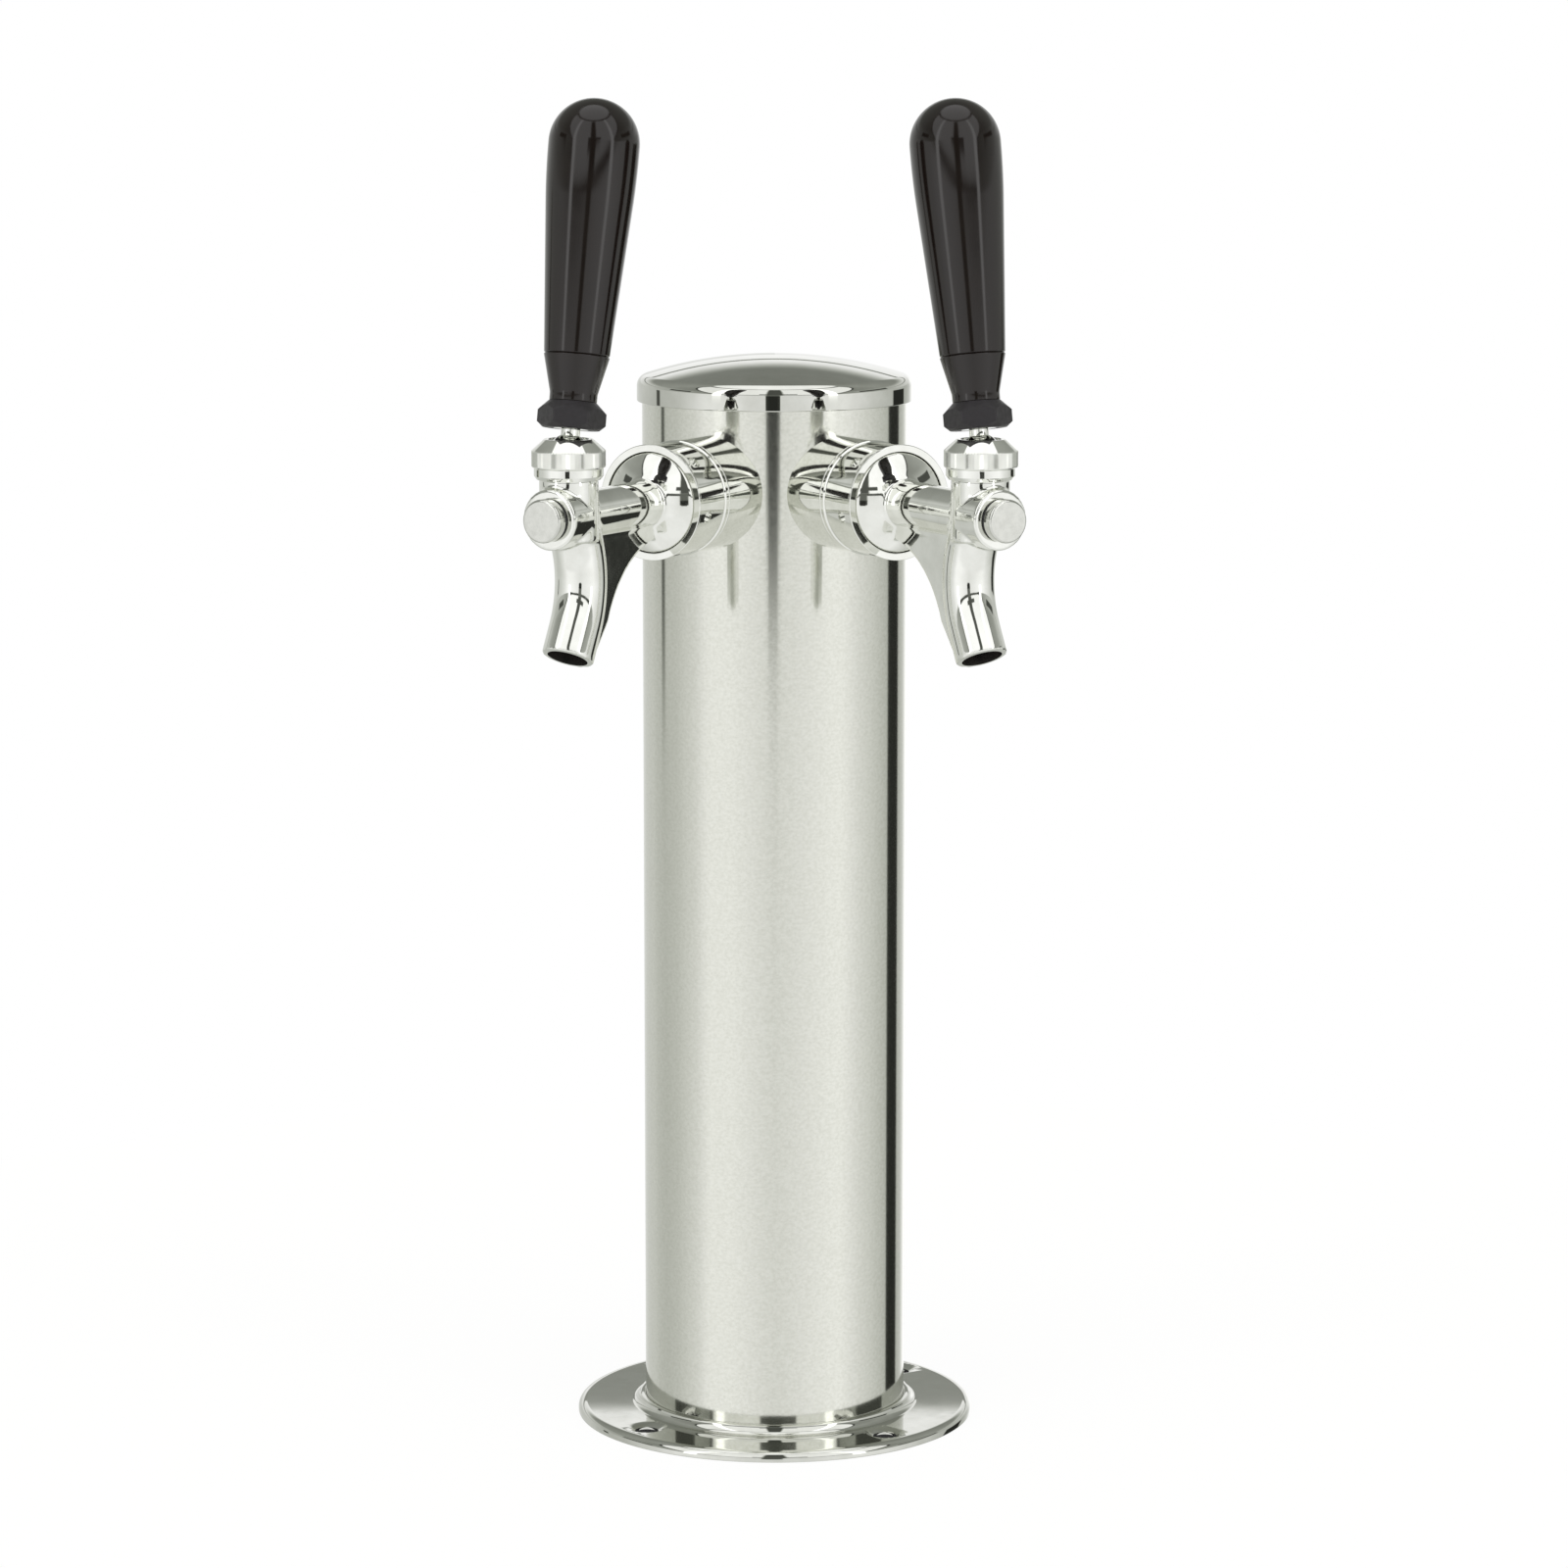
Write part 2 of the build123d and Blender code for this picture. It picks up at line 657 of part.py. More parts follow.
def make_handle():
    """Slender round-topped handle that tapers to a narrow neck, with one fine parting groove."""
    line = handle_base + handle_line_height
    groove_radius = handle_line_radius - handle_line_groove
    ball_height = handle_base + handle_length - handle_top_radius
    shoulder = handle_base + handle_shoulder_height
    with BuildSketch(Plane.XZ) as section:
        with BuildLine():
            Polyline((0, handle_base), (handle_neck_radius, handle_base),
                     (handle_neck_radius, handle_base + handle_neck_height),
                     (handle_line_radius, line - handle_line_groove), (groove_radius, line),
                     (handle_line_radius, line + handle_line_groove), (handle_shoulder_radius, shoulder))
            Spline((handle_shoulder_radius, shoulder), (handle_top_radius, ball_height),
                   tangents=((handle_shoulder_radius - handle_line_radius, shoulder - line), (0, 1)))
            RadiusArc((handle_top_radius, ball_height), (0, handle_base + handle_length), -handle_top_radius)
            Line((0, handle_base + handle_length), (0, handle_base))
        make_face()
    return lever_place * (revolve(section.sketch, Axis.Z) - insert_blank(thread_gap))


def insert_blank(gap):
    """Cylinder in the handle's foot: the threaded sleeve's outside, or with a gap the hole for it."""
    radius = lever_thread_radius + thread_gap + insert_wall + gap
    return Pos(0, 0, handle_base + insert_length / 2) * Cylinder(radius, insert_length)


def make_handle_insert():
    """Threaded brass sleeve in the handle's foot."""
    return lever_place * (insert_blank(0) - Cylinder(lever_thread_radius + thread_gap, cut_length))


tower_parts = {
    "column": make_column(),
    "base_flange": make_base_flange(),
    "base_gasket": make_base_gasket(),
    "tower_cap": make_tower_cap(),
    "insulation_sleeve": make_insulation_sleeve(),
}

tap_makers = {
    "shank_collar": make_shank_collar,
    "shank": make_shank,
    "shank_washer": make_shank_washer,
    "shank_locknut": make_shank_locknut,
    "tail_elbow": make_tail_elbow,
    "coupling_washer": make_coupling_washer,
    "faucet_body": make_faucet_body,
    "plug_gasket": make_plug_gasket,
    "front_plug": make_front_plug,
    "valve_shaft": make_valve_shaft,
    "valve_washer": make_valve_washer,
    "valve_nut": make_valve_nut,
    "ball_washer": make_ball_washer,
    "friction_washer": make_friction_washer,
    "bonnet": make_bonnet,
    "lever": make_lever,
    "handle_ferrule": make_handle_ferrule,
    "handle": make_handle,
    "handle_insert": make_handle_insert,
}


def write_part(name, shape):
    """Write one node's solid as STEP."""
    export_step(shape, os.path.join("parts", name + ".step"))


os.makedirs("parts", exist_ok=True)
for name, shape in tower_parts.items():
    write_part(name, shape)
for side_name, side_sign in (("left", -1), ("right", 1)):
    turn = Rot(0, 0, side_sign * tap_azimuth)
    write_part(side_name + "_coupling_nut", turn * make_coupling_nut(-side_sign))
    for name, maker in tap_makers.items():
        write_part(side_name + "_" + name, turn * maker())
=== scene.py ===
"""Two-tap draft beer tower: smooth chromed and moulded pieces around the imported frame.

The tower's sizes are in millimetres and the studio's in metres. The classes' angles are in degrees.
"""
import logging
from dataclasses import dataclass, field
from enum import Enum
from functools import cached_property
from math import acos, asin, atan2, cos, degrees, pi, radians, sin, sqrt, tan
from typing import Iterable, Optional, Sequence, Union

import bmesh
import bpy
from mathutils import Matrix, Vector
from mathutils.bvhtree import BVHTree


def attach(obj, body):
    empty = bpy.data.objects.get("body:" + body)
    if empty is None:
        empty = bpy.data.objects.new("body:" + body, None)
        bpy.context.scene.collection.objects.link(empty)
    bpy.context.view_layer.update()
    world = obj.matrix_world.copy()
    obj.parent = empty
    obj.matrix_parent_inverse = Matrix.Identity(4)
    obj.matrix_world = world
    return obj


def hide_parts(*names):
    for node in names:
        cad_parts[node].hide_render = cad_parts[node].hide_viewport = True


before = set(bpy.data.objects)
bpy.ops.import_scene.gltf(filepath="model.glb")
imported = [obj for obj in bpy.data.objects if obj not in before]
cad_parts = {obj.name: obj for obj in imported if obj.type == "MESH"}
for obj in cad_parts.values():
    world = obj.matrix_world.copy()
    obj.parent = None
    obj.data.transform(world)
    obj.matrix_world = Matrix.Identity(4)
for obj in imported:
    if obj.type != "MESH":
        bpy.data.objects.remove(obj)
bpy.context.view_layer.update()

MM = 0.001
FULL_TURN = 2 * pi

# Vertices nearer than this are one, in millimetres, and edges bent more than this angle stay sharp.
MERGE_MM = 1e-4
SHARP_ANGLE = radians(32)
# Chords of a rounded corner, and faces round a turned shape where no other number is given.
ROUND_STEPS = 5
TURN_STEPS = 128
# Millimetres by which a cutter, or a solid that is joined to another, reaches past the face it meets.
OVERLAP = 1.0
# Half the length of a bar that cuts right through a piece, in millimetres.
HALF_CUT = 300.0

# Place of the taps, in millimetres and degrees, which the column and the taps share.
TAP_HEIGHT = 275.2
TAP_AZIMUTH = 30.0

log = logging.getLogger("beer_tower")

Corner = tuple[float, float]
Shape = bmesh.types.BMesh
Vertex = bmesh.types.BMVert
Face = bmesh.types.BMFace
Socket = bpy.types.NodeSocket
Value = Union[float, int, str, bool, tuple, Socket]


# ---- Names shared with the frame ----

class Body(Enum):
    """Bodies of the frame that don't belong to one tap."""

    TOWER = "tower"
    CAP = "cap"


class Slot(Enum):
    """Material slots of the record, which the new pieces carry."""

    COLUMN = "column_stainless"
    POLISHED = "polished_stainless"
    CHROME = "chrome_plate"
    BLACK = "black_gloss"
    FOAM = "sleeve_foam"


class Side(Enum):
    """The two taps, with the sign of their turn about the column."""

    LEFT = -1
    RIGHT = 1

    def node(self, part: str) -> str:
        """Name of one of this tap's nodes or bodies."""
        return f"{self.name.lower()}_{part}"


class Cut(Enum):
    """How one solid is joined with another."""

    DIFFERENCE = "DIFFERENCE"
    INTERSECT = "INTERSECT"


# ---- Colour and material tools ----

def linear(hex_colour: str) -> tuple[float, float, float, float]:
    """Turn an sRGB hex colour to linear light.

    Args:
        hex_colour: Six hex digits, with or without a leading hash.

    Returns:
        Linear red, green and blue, and an alpha of 1.
    """
    digits = hex_colour.lstrip("#")
    parts = [int(digits[i:i + 2], 16) / 255 for i in (0, 2, 4)]
    red, green, blue = (c / 12.92 if c <= 0.04045 else ((c + 0.055) / 1.055) ** 2.4 for c in parts)
    return red, green, blue, 1.0


def add_node(
    tree: bpy.types.NodeTree,
    kind: str,
    inputs: Optional[dict[Union[str, int], Value]] = None,
    **settings: Value,
) -> bpy.types.Node:
    """Add one node with its settings, values and links.

    Args:
        tree: Node tree that gets the node.
        kind: Type name of the node.
        inputs: Values or output sockets for the node's inputs, by name or index.
        **settings: Attributes of the node itself.

    Returns:
        The new node.
    """
    node = tree.nodes.new(kind)
    for name, value in settings.items():
        setattr(node, name, value)
    for key, value in (inputs or {}).items():
        if isinstance(value, Socket):
            tree.links.new(value, node.inputs[key])
        else:
            node.inputs[key].default_value = value
    return node


@dataclass(frozen=True)
class Finish:
    """A real surface: its colour, gloss and the marks that its making leaves.

    Attributes:
        name: Common name and how the surface was made.
        colour: Colour of the clean surface.
        shade: Colour where the surface is a little duller or darker.
        metallic: 1 for bare metal and plating, 0 for everything else.
        roughness: Roughness where the surface is cleanest.
        roughness_spread: How much rougher the dullest places are.
        mark_mm: Size of the colour and roughness marks.
        mark_stretch: How many times longer a mark is round the object than it is high.
        bump_mm: Height of the relief.
        bump_size_mm: Size of the relief's waves.
    """

    name: str
    colour: str
    shade: str
    metallic: float
    roughness: float
    roughness_spread: float
    mark_mm: float
    mark_stretch: float = 1.0
    bump_mm: float = 0.0
    bump_size_mm: float = 1.0

    def material(self) -> bpy.types.Material:
        """Build the material once and hand out the same one after that.

        Returns:
            The material of this finish.
        """
        made = bpy.data.materials.get(self.name)
        if made:
            return made
        made = bpy.data.materials.new(self.name)
        made.use_nodes = True
        tree = made.node_tree
        shader = tree.nodes["Principled BSDF"]
        shader.inputs["Metallic"].default_value = self.metallic
        place = add_node(tree, "ShaderNodeTexCoord").outputs["Object"]
        stretched = add_node(tree, "ShaderNodeMapping", {
            "Vector": place, "Scale": (1.0, 1.0, self.mark_stretch)}).outputs[0]
        marks = add_node(tree, "ShaderNodeTexNoise", {
            "Vector": stretched, "Scale": 1 / (self.mark_mm * MM), "Detail": 3.0,
            "Roughness": 0.55}).outputs[0]
        blend = add_node(tree, "ShaderNodeMapRange", {
            "Value": marks, "From Min": 0.35, "From Max": 0.7}).outputs[0]
        colour = add_node(tree, "ShaderNodeMix", {
            "Factor": blend, "A": linear(self.colour), "B": linear(self.shade)}, data_type="RGBA")
        tree.links.new(colour.outputs["Result"], shader.inputs["Base Color"])
        gloss = add_node(tree, "ShaderNodeMapRange", {
            "Value": marks, "From Min": 0.3, "From Max": 0.75, "To Min": self.roughness,
            "To Max": self.roughness + self.roughness_spread})
        tree.links.new(gloss.outputs[0], shader.inputs["Roughness"])
        if self.bump_mm:
            waves = add_node(tree, "ShaderNodeTexNoise", {
                "Vector": stretched, "Scale": 1 / (self.bump_size_mm * MM), "Detail": 2.0})
            relief = add_node(tree, "ShaderNodeBump", {
                "Height": waves.outputs[0], "Distance": self.bump_mm * MM, "Strength": 1.0})
            tree.links.new(relief.outputs[0], shader.inputs["Normal"])
        return made


# Drawn stainless tube, satin buffed: reflections keep their shapes but have soft edges and a pale grain.
# Real buffing leaves a finer grain: it is drawn about a millimetre coarse so that it shows.
SATIN_TUBE = Finish(
    name="Stainless_steel_satin_buffed_tube", colour="#dcddd5", shade="#d2d3ca", metallic=1.0,
    roughness=0.08, roughness_spread=0.03, mark_mm=1.1, mark_stretch=1.3)
# Pressed stainless, mirror buffed: a clear reflection with the faintest haze of polishing.
BUFFED_STAINLESS = Finish(
    name="Stainless_steel_pressed_mirror_buffed", colour="#d6d7d1", shade="#cccdc6", metallic=1.0,
    roughness=0.015, roughness_spread=0.012, mark_mm=6.0)
# Brass turned, polished and chromium plated: hard bright mirror.
TURNED_CHROME = Finish(
    name="Brass_turned_chromium_plated", colour="#edeee9", shade="#e4e5df", metallic=1.0,
    roughness=0.03, roughness_spread=0.03, mark_mm=5.0)
# Brass faced in the lathe and plated over a fine satin: the plug's face stays a soft pale grey.
FACED_CHROME = Finish(
    name="Brass_faced_satin_chromium_plated", colour="#d6d7d1", shade="#cbccc6", metallic=1.0,
    roughness=0.12, roughness_spread=0.05, mark_mm=2.0)
# Brass cast, hand polished and chromium plated: the mirror wavers a little where the casting was dressed.
CAST_CHROME = Finish(
    name="Brass_cast_chromium_plated", colour="#edeee9", shade="#e2e3dd", metallic=1.0,
    roughness=0.035, roughness_spread=0.03, mark_mm=6.0, bump_mm=0.03, bump_size_mm=9.0)
# Bare turned brass of the shank and its nut: yellow, with a dull tarnish.
BARE_BRASS = Finish(
    name="Brass_turned_bare", colour="#d2b172", shade="#a98549", metallic=1.0,
    roughness=0.22, roughness_spread=0.16, mark_mm=3.0, bump_mm=0.01, bump_size_mm=0.6)
# Phenolic resin pressed in a polished mould: deep gloss, a trace of warm brown in the black.
PHENOLIC = Finish(
    name="Phenolic_resin_moulded_gloss", colour="#140d0a", shade="#18110d", metallic=0.0,
    roughness=0.1, roughness_spread=0.04, mark_mm=9.0, bump_mm=0.006, bump_size_mm=12.0)
# Steel nut, blackened and waxed: charcoal with a purple cast, half matt.
BLACK_OXIDE = Finish(
    name="Steel_black_oxide_waxed", colour="#262326", shade="#1e1b1d", metallic=0.0,
    roughness=0.38, roughness_spread=0.15, mark_mm=1.6, bump_mm=0.02, bump_size_mm=0.9)
# The faucet's bores: nearly black painted shade over the bored brass. It stands in for the shade inside
# them, and being matt it hides their glints.
BORE_PAINTED_SHADE = Finish(
    name="Brass_bore_painted_shade", colour="#14110e", shade="#211b15", metallic=0.0,
    roughness=0.5, roughness_spread=0.15, mark_mm=2.0, bump_mm=0.01, bump_size_mm=0.8)
# Nitrile rubber moulded flat: matt black with a fine bloom.
NITRILE = Finish(
    name="Nitrile_rubber_moulded", colour="#1a1a1b", shade="#26262a", metallic=0.0,
    roughness=0.55, roughness_spread=0.2, mark_mm=2.0, bump_mm=0.02, bump_size_mm=0.7)
# Acetal washers turned from rod: milky white, slightly waxy.
ACETAL = Finish(
    name="Acetal_turned", colour="#e9e6dc", shade="#dedacd", metallic=0.0,
    roughness=0.35, roughness_spread=0.12, mark_mm=2.5)
# Polyethylene foam tube, cut: pale grey closed cells about a millimetre across.
FOAM = Finish(
    name="Polyethylene_foam_cut", colour="#c9c9c4", shade="#b3b3ad", metallic=0.0,
    roughness=0.85, roughness_spread=0.1, mark_mm=1.2, bump_mm=0.25, bump_size_mm=1.1)


# ---- Mesh tools, in millimetres ----

def of_kind(geometry: Iterable, kind: type) -> list:
    """Only the vertices, or only the faces, of mixed geometry."""
    return [part for part in geometry if isinstance(part, kind)]


def swept(
    shape: Shape, start: Iterable, centre: Sequence[float], axis: Sequence[float], angle: float, steps: int,
    merge: bool = False,
) -> list:
    """Spin vertices, edges or faces about an axis.

    Args:
        shape: The bmesh that holds them.
        start: What is spun.
        centre: A point on the axis.
        axis: Direction of the axis.
        angle: Angle of the whole spin, in radians.
        steps: Number of steps that it takes.
        merge: Whether the last step is joined to the first.

    Returns:
        What stands at the end of the spin.
    """
    return bmesh.ops.spin(
        shape, geom=start, cent=centre, axis=axis, dvec=(0, 0, 0), angle=angle, steps=steps,
        use_merge=merge, use_normal_flip=False, use_duplicate=False)["geom_last"]


def pushed(shape: Shape, faces: Sequence[Face], run: Vector) -> list[Face]:
    """Extrude faces along a straight run.

    Args:
        shape: The shape that holds them.
        faces: Faces to extrude.
        run: Direction and length.

    Returns:
        The faces at the new end.
    """
    grown = bmesh.ops.extrude_face_region(shape, geom=list(faces))["geom"]
    bmesh.ops.translate(shape, vec=run, verts=of_kind(grown, Vertex))
    return of_kind(grown, Face)


class Outline:
    """Half-section of a turned shape, drawn corner by corner: x is the radius and z the height."""

    def __init__(self, radius: float, height: float) -> None:
        """Start the outline at a corner.

        Args:
            radius: Distance of the first corner from the axis.
            height: Height of the first corner.
        """
        self.mesh = bmesh.new()
        self.start = self.tip = self.mesh.verts.new((radius, 0, height))
        self.rounded: list[tuple[Vertex, float]] = []

    def line(self, radius: float, height: float, fillet: float = 0.0, cuts: int = 0) -> "Outline":
        """Draw a straight line to a corner.

        Args:
            radius: Radius of the corner.
            height: Height of the corner.
            fillet: Radius that rounds the corner, or 0 to leave it sharp.
            cuts: How many extra points divide the line.

        Returns:
            The outline itself.
        """
        before, end = self.tip.co.copy(), Vector((radius, 0, height))
        for step in range(1, cuts + 2):
            corner = self.mesh.verts.new(before.lerp(end, step / (cuts + 1)))
            self.mesh.edges.new((self.tip, corner))
            self.tip = corner
        if fillet:
            self.rounded.append((self.tip, fillet))
        return self

    def arc(self, centre: Corner, angle: float, steps: int) -> "Outline":
        """Swing from the last corner about a centre.

        Args:
            centre: Radius and height of the arc's centre.
            angle: Degrees, positive from the radius towards the height.
            steps: Number of chords.

        Returns:
            The outline itself.
        """
        end = swept(self.mesh, [self.tip], (centre[0], 0, centre[1]), (0, 1, 0), -radians(angle), steps)
        self.tip = of_kind(end, Vertex)[0]
        return self

    def close(self) -> "Outline":
        """Join the last corner to the first, for a ring."""
        self.mesh.edges.new((self.tip, self.start))
        return self

    def turn(self, steps: int = TURN_STEPS) -> Shape:
        """Round the marked corners and turn the outline full circle about the Z axis.

        Args:
            steps: Faces round the circle.

        Returns:
            The closed turned shape, faces outward.
        """
        for corner, fillet in self.rounded:
            before, after = (edge.other_vert(corner).co - corner.co for edge in corner.link_edges)
            run = fillet / tan(before.angle(after) / 2)
            bmesh.ops.bevel(
                self.mesh, geom=[corner], offset=run, offset_type="OFFSET", segments=ROUND_STEPS,
                profile=0.5, affect="VERTICES", material=-1)
        whole = self.mesh.verts[:] + self.mesh.edges[:]
        swept(self.mesh, whole, (0, 0, 0), (0, 0, 1), FULL_TURN, steps, merge=True)
        bmesh.ops.remove_doubles(self.mesh, verts=self.mesh.verts, dist=MERGE_MM)
        bmesh.ops.recalc_face_normals(self.mesh, faces=self.mesh.faces)
        return self.mesh


def bar(start: Vector, end: Vector, radius: float, steps: int = 64) -> Shape:
    """Round bar between two points.

    Args:
        start: Centre of one end.
        end: Centre of the other end.
        radius: Radius of the bar.
        steps: Faces round the bar.

    Returns:
        The closed bar.
    """
    made = bmesh.new()
    run = end - start
    place = Matrix.Translation((start + end) / 2) @ run.to_track_quat("Z", "Y").to_matrix().to_4x4()
    bmesh.ops.create_cone(
        made, cap_ends=True, segments=steps, radius1=radius, radius2=radius, depth=run.length, matrix=place)
    return made


def block(low: Vector, high: Vector) -> Shape:
    """Box between two corners.

    Args:
        low: Its corner with the lowest coordinates.
        high: The opposite corner.

    Returns:
        The closed block.
    """
    made = bmesh.new()
    place = Matrix.Translation((low + high) / 2) @ Matrix.Diagonal((*(high - low), 1))
    bmesh.ops.create_cube(made, size=1.0, matrix=place)
    return made


def loose_object(shape: Shape, name: str) -> bpy.types.Object:
    """Put a bmesh in a new object of the scene and free it.

    Args:
        shape: The bmesh, which can't be used after this.
        name: Name of the object and its mesh.

    Returns:
        The new object.
    """
    mesh = bpy.data.meshes.new(name)
    shape.to_mesh(mesh)
    shape.free()
    made = bpy.data.objects.new(name, mesh)
    bpy.context.scene.collection.objects.link(made)
    return made


def settled(source: bpy.types.Object) -> Shape:
    """Apply an object's modifiers and take the object away.

    Args:
        source: Object whose modifiers give the shape.

    Returns:
        The finished shape.
    """
    graph = bpy.context.evaluated_depsgraph_get()
    shape = bmesh.new()
    shape.from_object(source, graph)
    bpy.data.objects.remove(source)
    return shape


def combined(base: Shape, tools: Iterable[Shape], cut: Cut = Cut.DIFFERENCE) -> Shape:
    """Cut a solid with others.

    Args:
        base: Solid that is cut.
        tools: Closed solids that cut it, in turn.
        cut: Whether the tools are taken away or their common part is kept.

    Returns:
        The cut solid.
    """
    blank = loose_object(base, "blank")
    cutters = [loose_object(tool, "tool") for tool in tools]
    for cutter in cutters:
        modifier = blank.modifiers.new("cut", "BOOLEAN")
        modifier.operation, modifier.solver, modifier.object = cut.value, "EXACT", cutter
    shape = settled(blank)
    for cutter in cutters:
        bpy.data.objects.remove(cutter)
    return shape


def in_one(shapes: Iterable[Shape]) -> Shape:
    """Put several shapes in one bmesh, without joining their surfaces.

    Args:
        shapes: The shapes, which can't be used after this.

    Returns:
        One bmesh that holds them all.
    """
    whole = bmesh.new()
    for shape in shapes:
        carrier = bpy.data.meshes.new("carrier")
        shape.to_mesh(carrier)
        shape.free()
        whole.from_mesh(carrier)
        bpy.data.meshes.remove(carrier)
    return whole


@dataclass
class Piece:
    """One finished piece and what the frame has to know about it.

    Attributes:
        node: The node that it stands for.
        shape: Its shape in millimetres, in its own place's axes.
        place: Where the shape goes on the object, in millimetres.
        finish: Its surface.
        slot: The record's material slot that it stands for; not used.
        body: The body that it moves with.
        even_normals: Whether flat faces keep their own direction beside rounded edges.
        lining: Surface of the faces whose material index is 1.
    """

    node: str
    shape: Shape
    place: Matrix
    finish: Finish
    slot: Slot
    body: str
    even_normals: bool = True
    lining: Optional[Finish] = None

    @property
    def name(self) -> str:
        """Name of the piece: its node's, with a capital."""
        return self.node.capitalize()

    def deliver(self) -> None:
        """Place and shade the piece, give it its finishes and body, and hide its node, with its object at
        the origin.
        """
        bmesh.ops.transform(self.shape, matrix=Matrix.Scale(MM, 4) @ self.place, verts=self.shape.verts)
        for face in self.shape.faces:
            face.smooth = True
        for edge in self.shape.edges:
            edge.smooth = not (len(edge.link_faces) == 2 and edge.calc_face_angle(0) > SHARP_ANGLE)
        made = loose_object(self.shape, self.name)
        made.data.materials.append(self.finish.material())
        if self.lining:
            made.data.materials.append(self.lining.material())
        if self.even_normals:
            normals = made.modifiers.new("flat faces stay flat", "WEIGHTED_NORMAL")
            normals.keep_sharp = True
        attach(made, self.body)
        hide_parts(self.node)
        log.info("%s: %d faces, %s", self.name, len(made.data.polygons), self.finish.name)


def dress_node(node: str, finish: Finish) -> None:
    """Give a carried-over node its finish.

    Args:
        node: Name of the node.
        finish: Surface that it gets.
    """
    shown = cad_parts[node]
    if not shown.material_slots:
        shown.data.materials.append(finish.material())
    for material_slot in shown.material_slots:
        material_slot.material = finish.material()
    log.info("%s: node kept, %s", node, finish.name)


# ---- Column, base and cap ----

@dataclass
class Tower:
    """The upright tube on its flange, with its cap and what is inside."""

    column_radius: float = 38.1
    wall: float = 1.3
    column_low: float = 3.0
    column_top: float = 303.4
    lip_round: float = 0.35
    shank_hole_radius: float = 11.4
    flange_radius: float = 58.0
    flange_sheet: float = 1.6
    flange_edge_round: float = 2.0
    flange_foot_round: float = 0.3
    flange_lip_wall: float = 2.0
    flat_strip: float = 0.6
    hub_radius: float = 39.6
    hub_seat: float = 38.15
    hub_top: float = 5.3
    hub_round: float = 0.3
    hub_lip_run: float = 0.35
    hub_lip_rise: float = 0.12
    cove_width: float = 1.9
    cove_radius: float = 2.76
    bolt_circle: float = 48.9
    bolt_angle: float = 220.6
    bolt_count: int = 4
    bolt_radius: float = 3.4
    sink_radius: float = 5.6
    sink_depth: float = 1.0
    cap_radius: float = 39.6
    cap_wall: float = 1.2
    cap_low: float = 298.5
    cap_turn_height: float = 302.8
    cap_dome: float = 125.0
    cap_shoulder: float = 3.4
    skirt_outer_round: float = 0.3
    skirt_inner_round: float = 0.2
    sleeve_low: float = 5.0
    sleeve_top: float = 236.0
    sleeve_radius: float = 36.5
    sleeve_bore: float = 20.0
    sleeve_foot_round: float = 0.8
    sleeve_top_round: float = 1.2
    turn_steps: int = 192

    @property
    def bore(self) -> float:
        """Inside radius of the tube."""
        return self.column_radius - self.wall

    def column_shape(self) -> Shape:
        """Tube with its two shank holes.

        Returns:
            The tube, open at both ends.
        """
        tube = (
            Outline(self.column_radius, self.column_low)
            .line(self.column_radius, self.column_top, self.lip_round)
            .line(self.bore, self.column_top, self.lip_round)
            .line(self.bore, self.column_low).close().turn(self.turn_steps))
        holes = []
        for side in Side:
            turn = Matrix.Rotation(side.value * radians(TAP_AZIMUTH), 4, "Z")
            axis = Vector((0, 0, TAP_HEIGHT))
            mouth = turn @ Vector((0, -self.column_radius * 2, TAP_HEIGHT))
            holes.append(bar(axis, mouth, self.shank_hole_radius))
        return combined(tube, holes)

    def flange_shape(self) -> Shape:
        """Pressed disc with a turned-down edge, a low coved hub and countersunk screw holes.

        Returns:
            The flange, its foot at height 0.
        """
        top, under = self.column_low, self.column_low - self.flange_sheet
        cove_foot = self.hub_radius + self.cove_width
        rise = self.hub_top - top
        chord = sqrt(self.cove_width ** 2 + rise ** 2)
        sagitta_run = sqrt(self.cove_radius ** 2 - chord ** 2 / 4) / chord
        centre = (self.hub_radius + self.cove_width / 2 + rise * sagitta_run,
                  top + rise / 2 + self.cove_width * sagitta_run)
        swing = degrees(2 * asin(chord / 2 / self.cove_radius))
        lip_inner = self.bore + self.flange_lip_wall
        rim_inner = self.flange_radius - self.flange_lip_wall
        hub_crest = self.hub_top + self.hub_lip_rise
        # Narrow flat strips beside the rounded edge and the cove keep the disc's face shaded as flat.
        disc = (
            Outline(rim_inner, under).line(rim_inner, 0).line(self.flange_radius, 0, self.flange_foot_round)
            .line(self.flange_radius, top, self.flange_edge_round)
            .line(self.flange_radius - self.flange_edge_round - self.flat_strip, top)
            .line(cove_foot + self.flat_strip, top).line(cove_foot, top)
            .arc(centre, -swing, steps=10)
            .line(self.hub_radius - self.hub_lip_run, hub_crest)
            .line(self.hub_seat, hub_crest, self.hub_round)
            .line(self.hub_seat, top).line(self.bore, top).line(self.bore, 0)
            .line(lip_inner, 0).line(lip_inner, under).close().turn(self.turn_steps))
        return combined(disc, [self.screw_cutter(index) for index in range(self.bolt_count)])

    def screw_cutter(self, index: int) -> Shape:
        """Shape of one countersunk screw hole, at its place.

        Args:
            index: Which of the holes.

        Returns:
            The cutter.
        """
        top = self.column_low
        slope = (self.sink_radius - self.bolt_radius) / self.sink_depth
        cutter = (
            Outline(0, -OVERLAP).line(self.bolt_radius, -OVERLAP)
            .line(self.bolt_radius, top - self.sink_depth)
            .line(self.sink_radius + slope * OVERLAP, top + OVERLAP).line(0, top + OVERLAP).turn(steps=64))
        angle = radians(self.bolt_angle + index * 360 / self.bolt_count)
        place = Matrix.Rotation(angle, 4, "Z") @ Matrix.Translation((self.bolt_circle, 0, 0))
        bmesh.ops.transform(cutter, matrix=place, verts=cutter.verts)
        return cutter

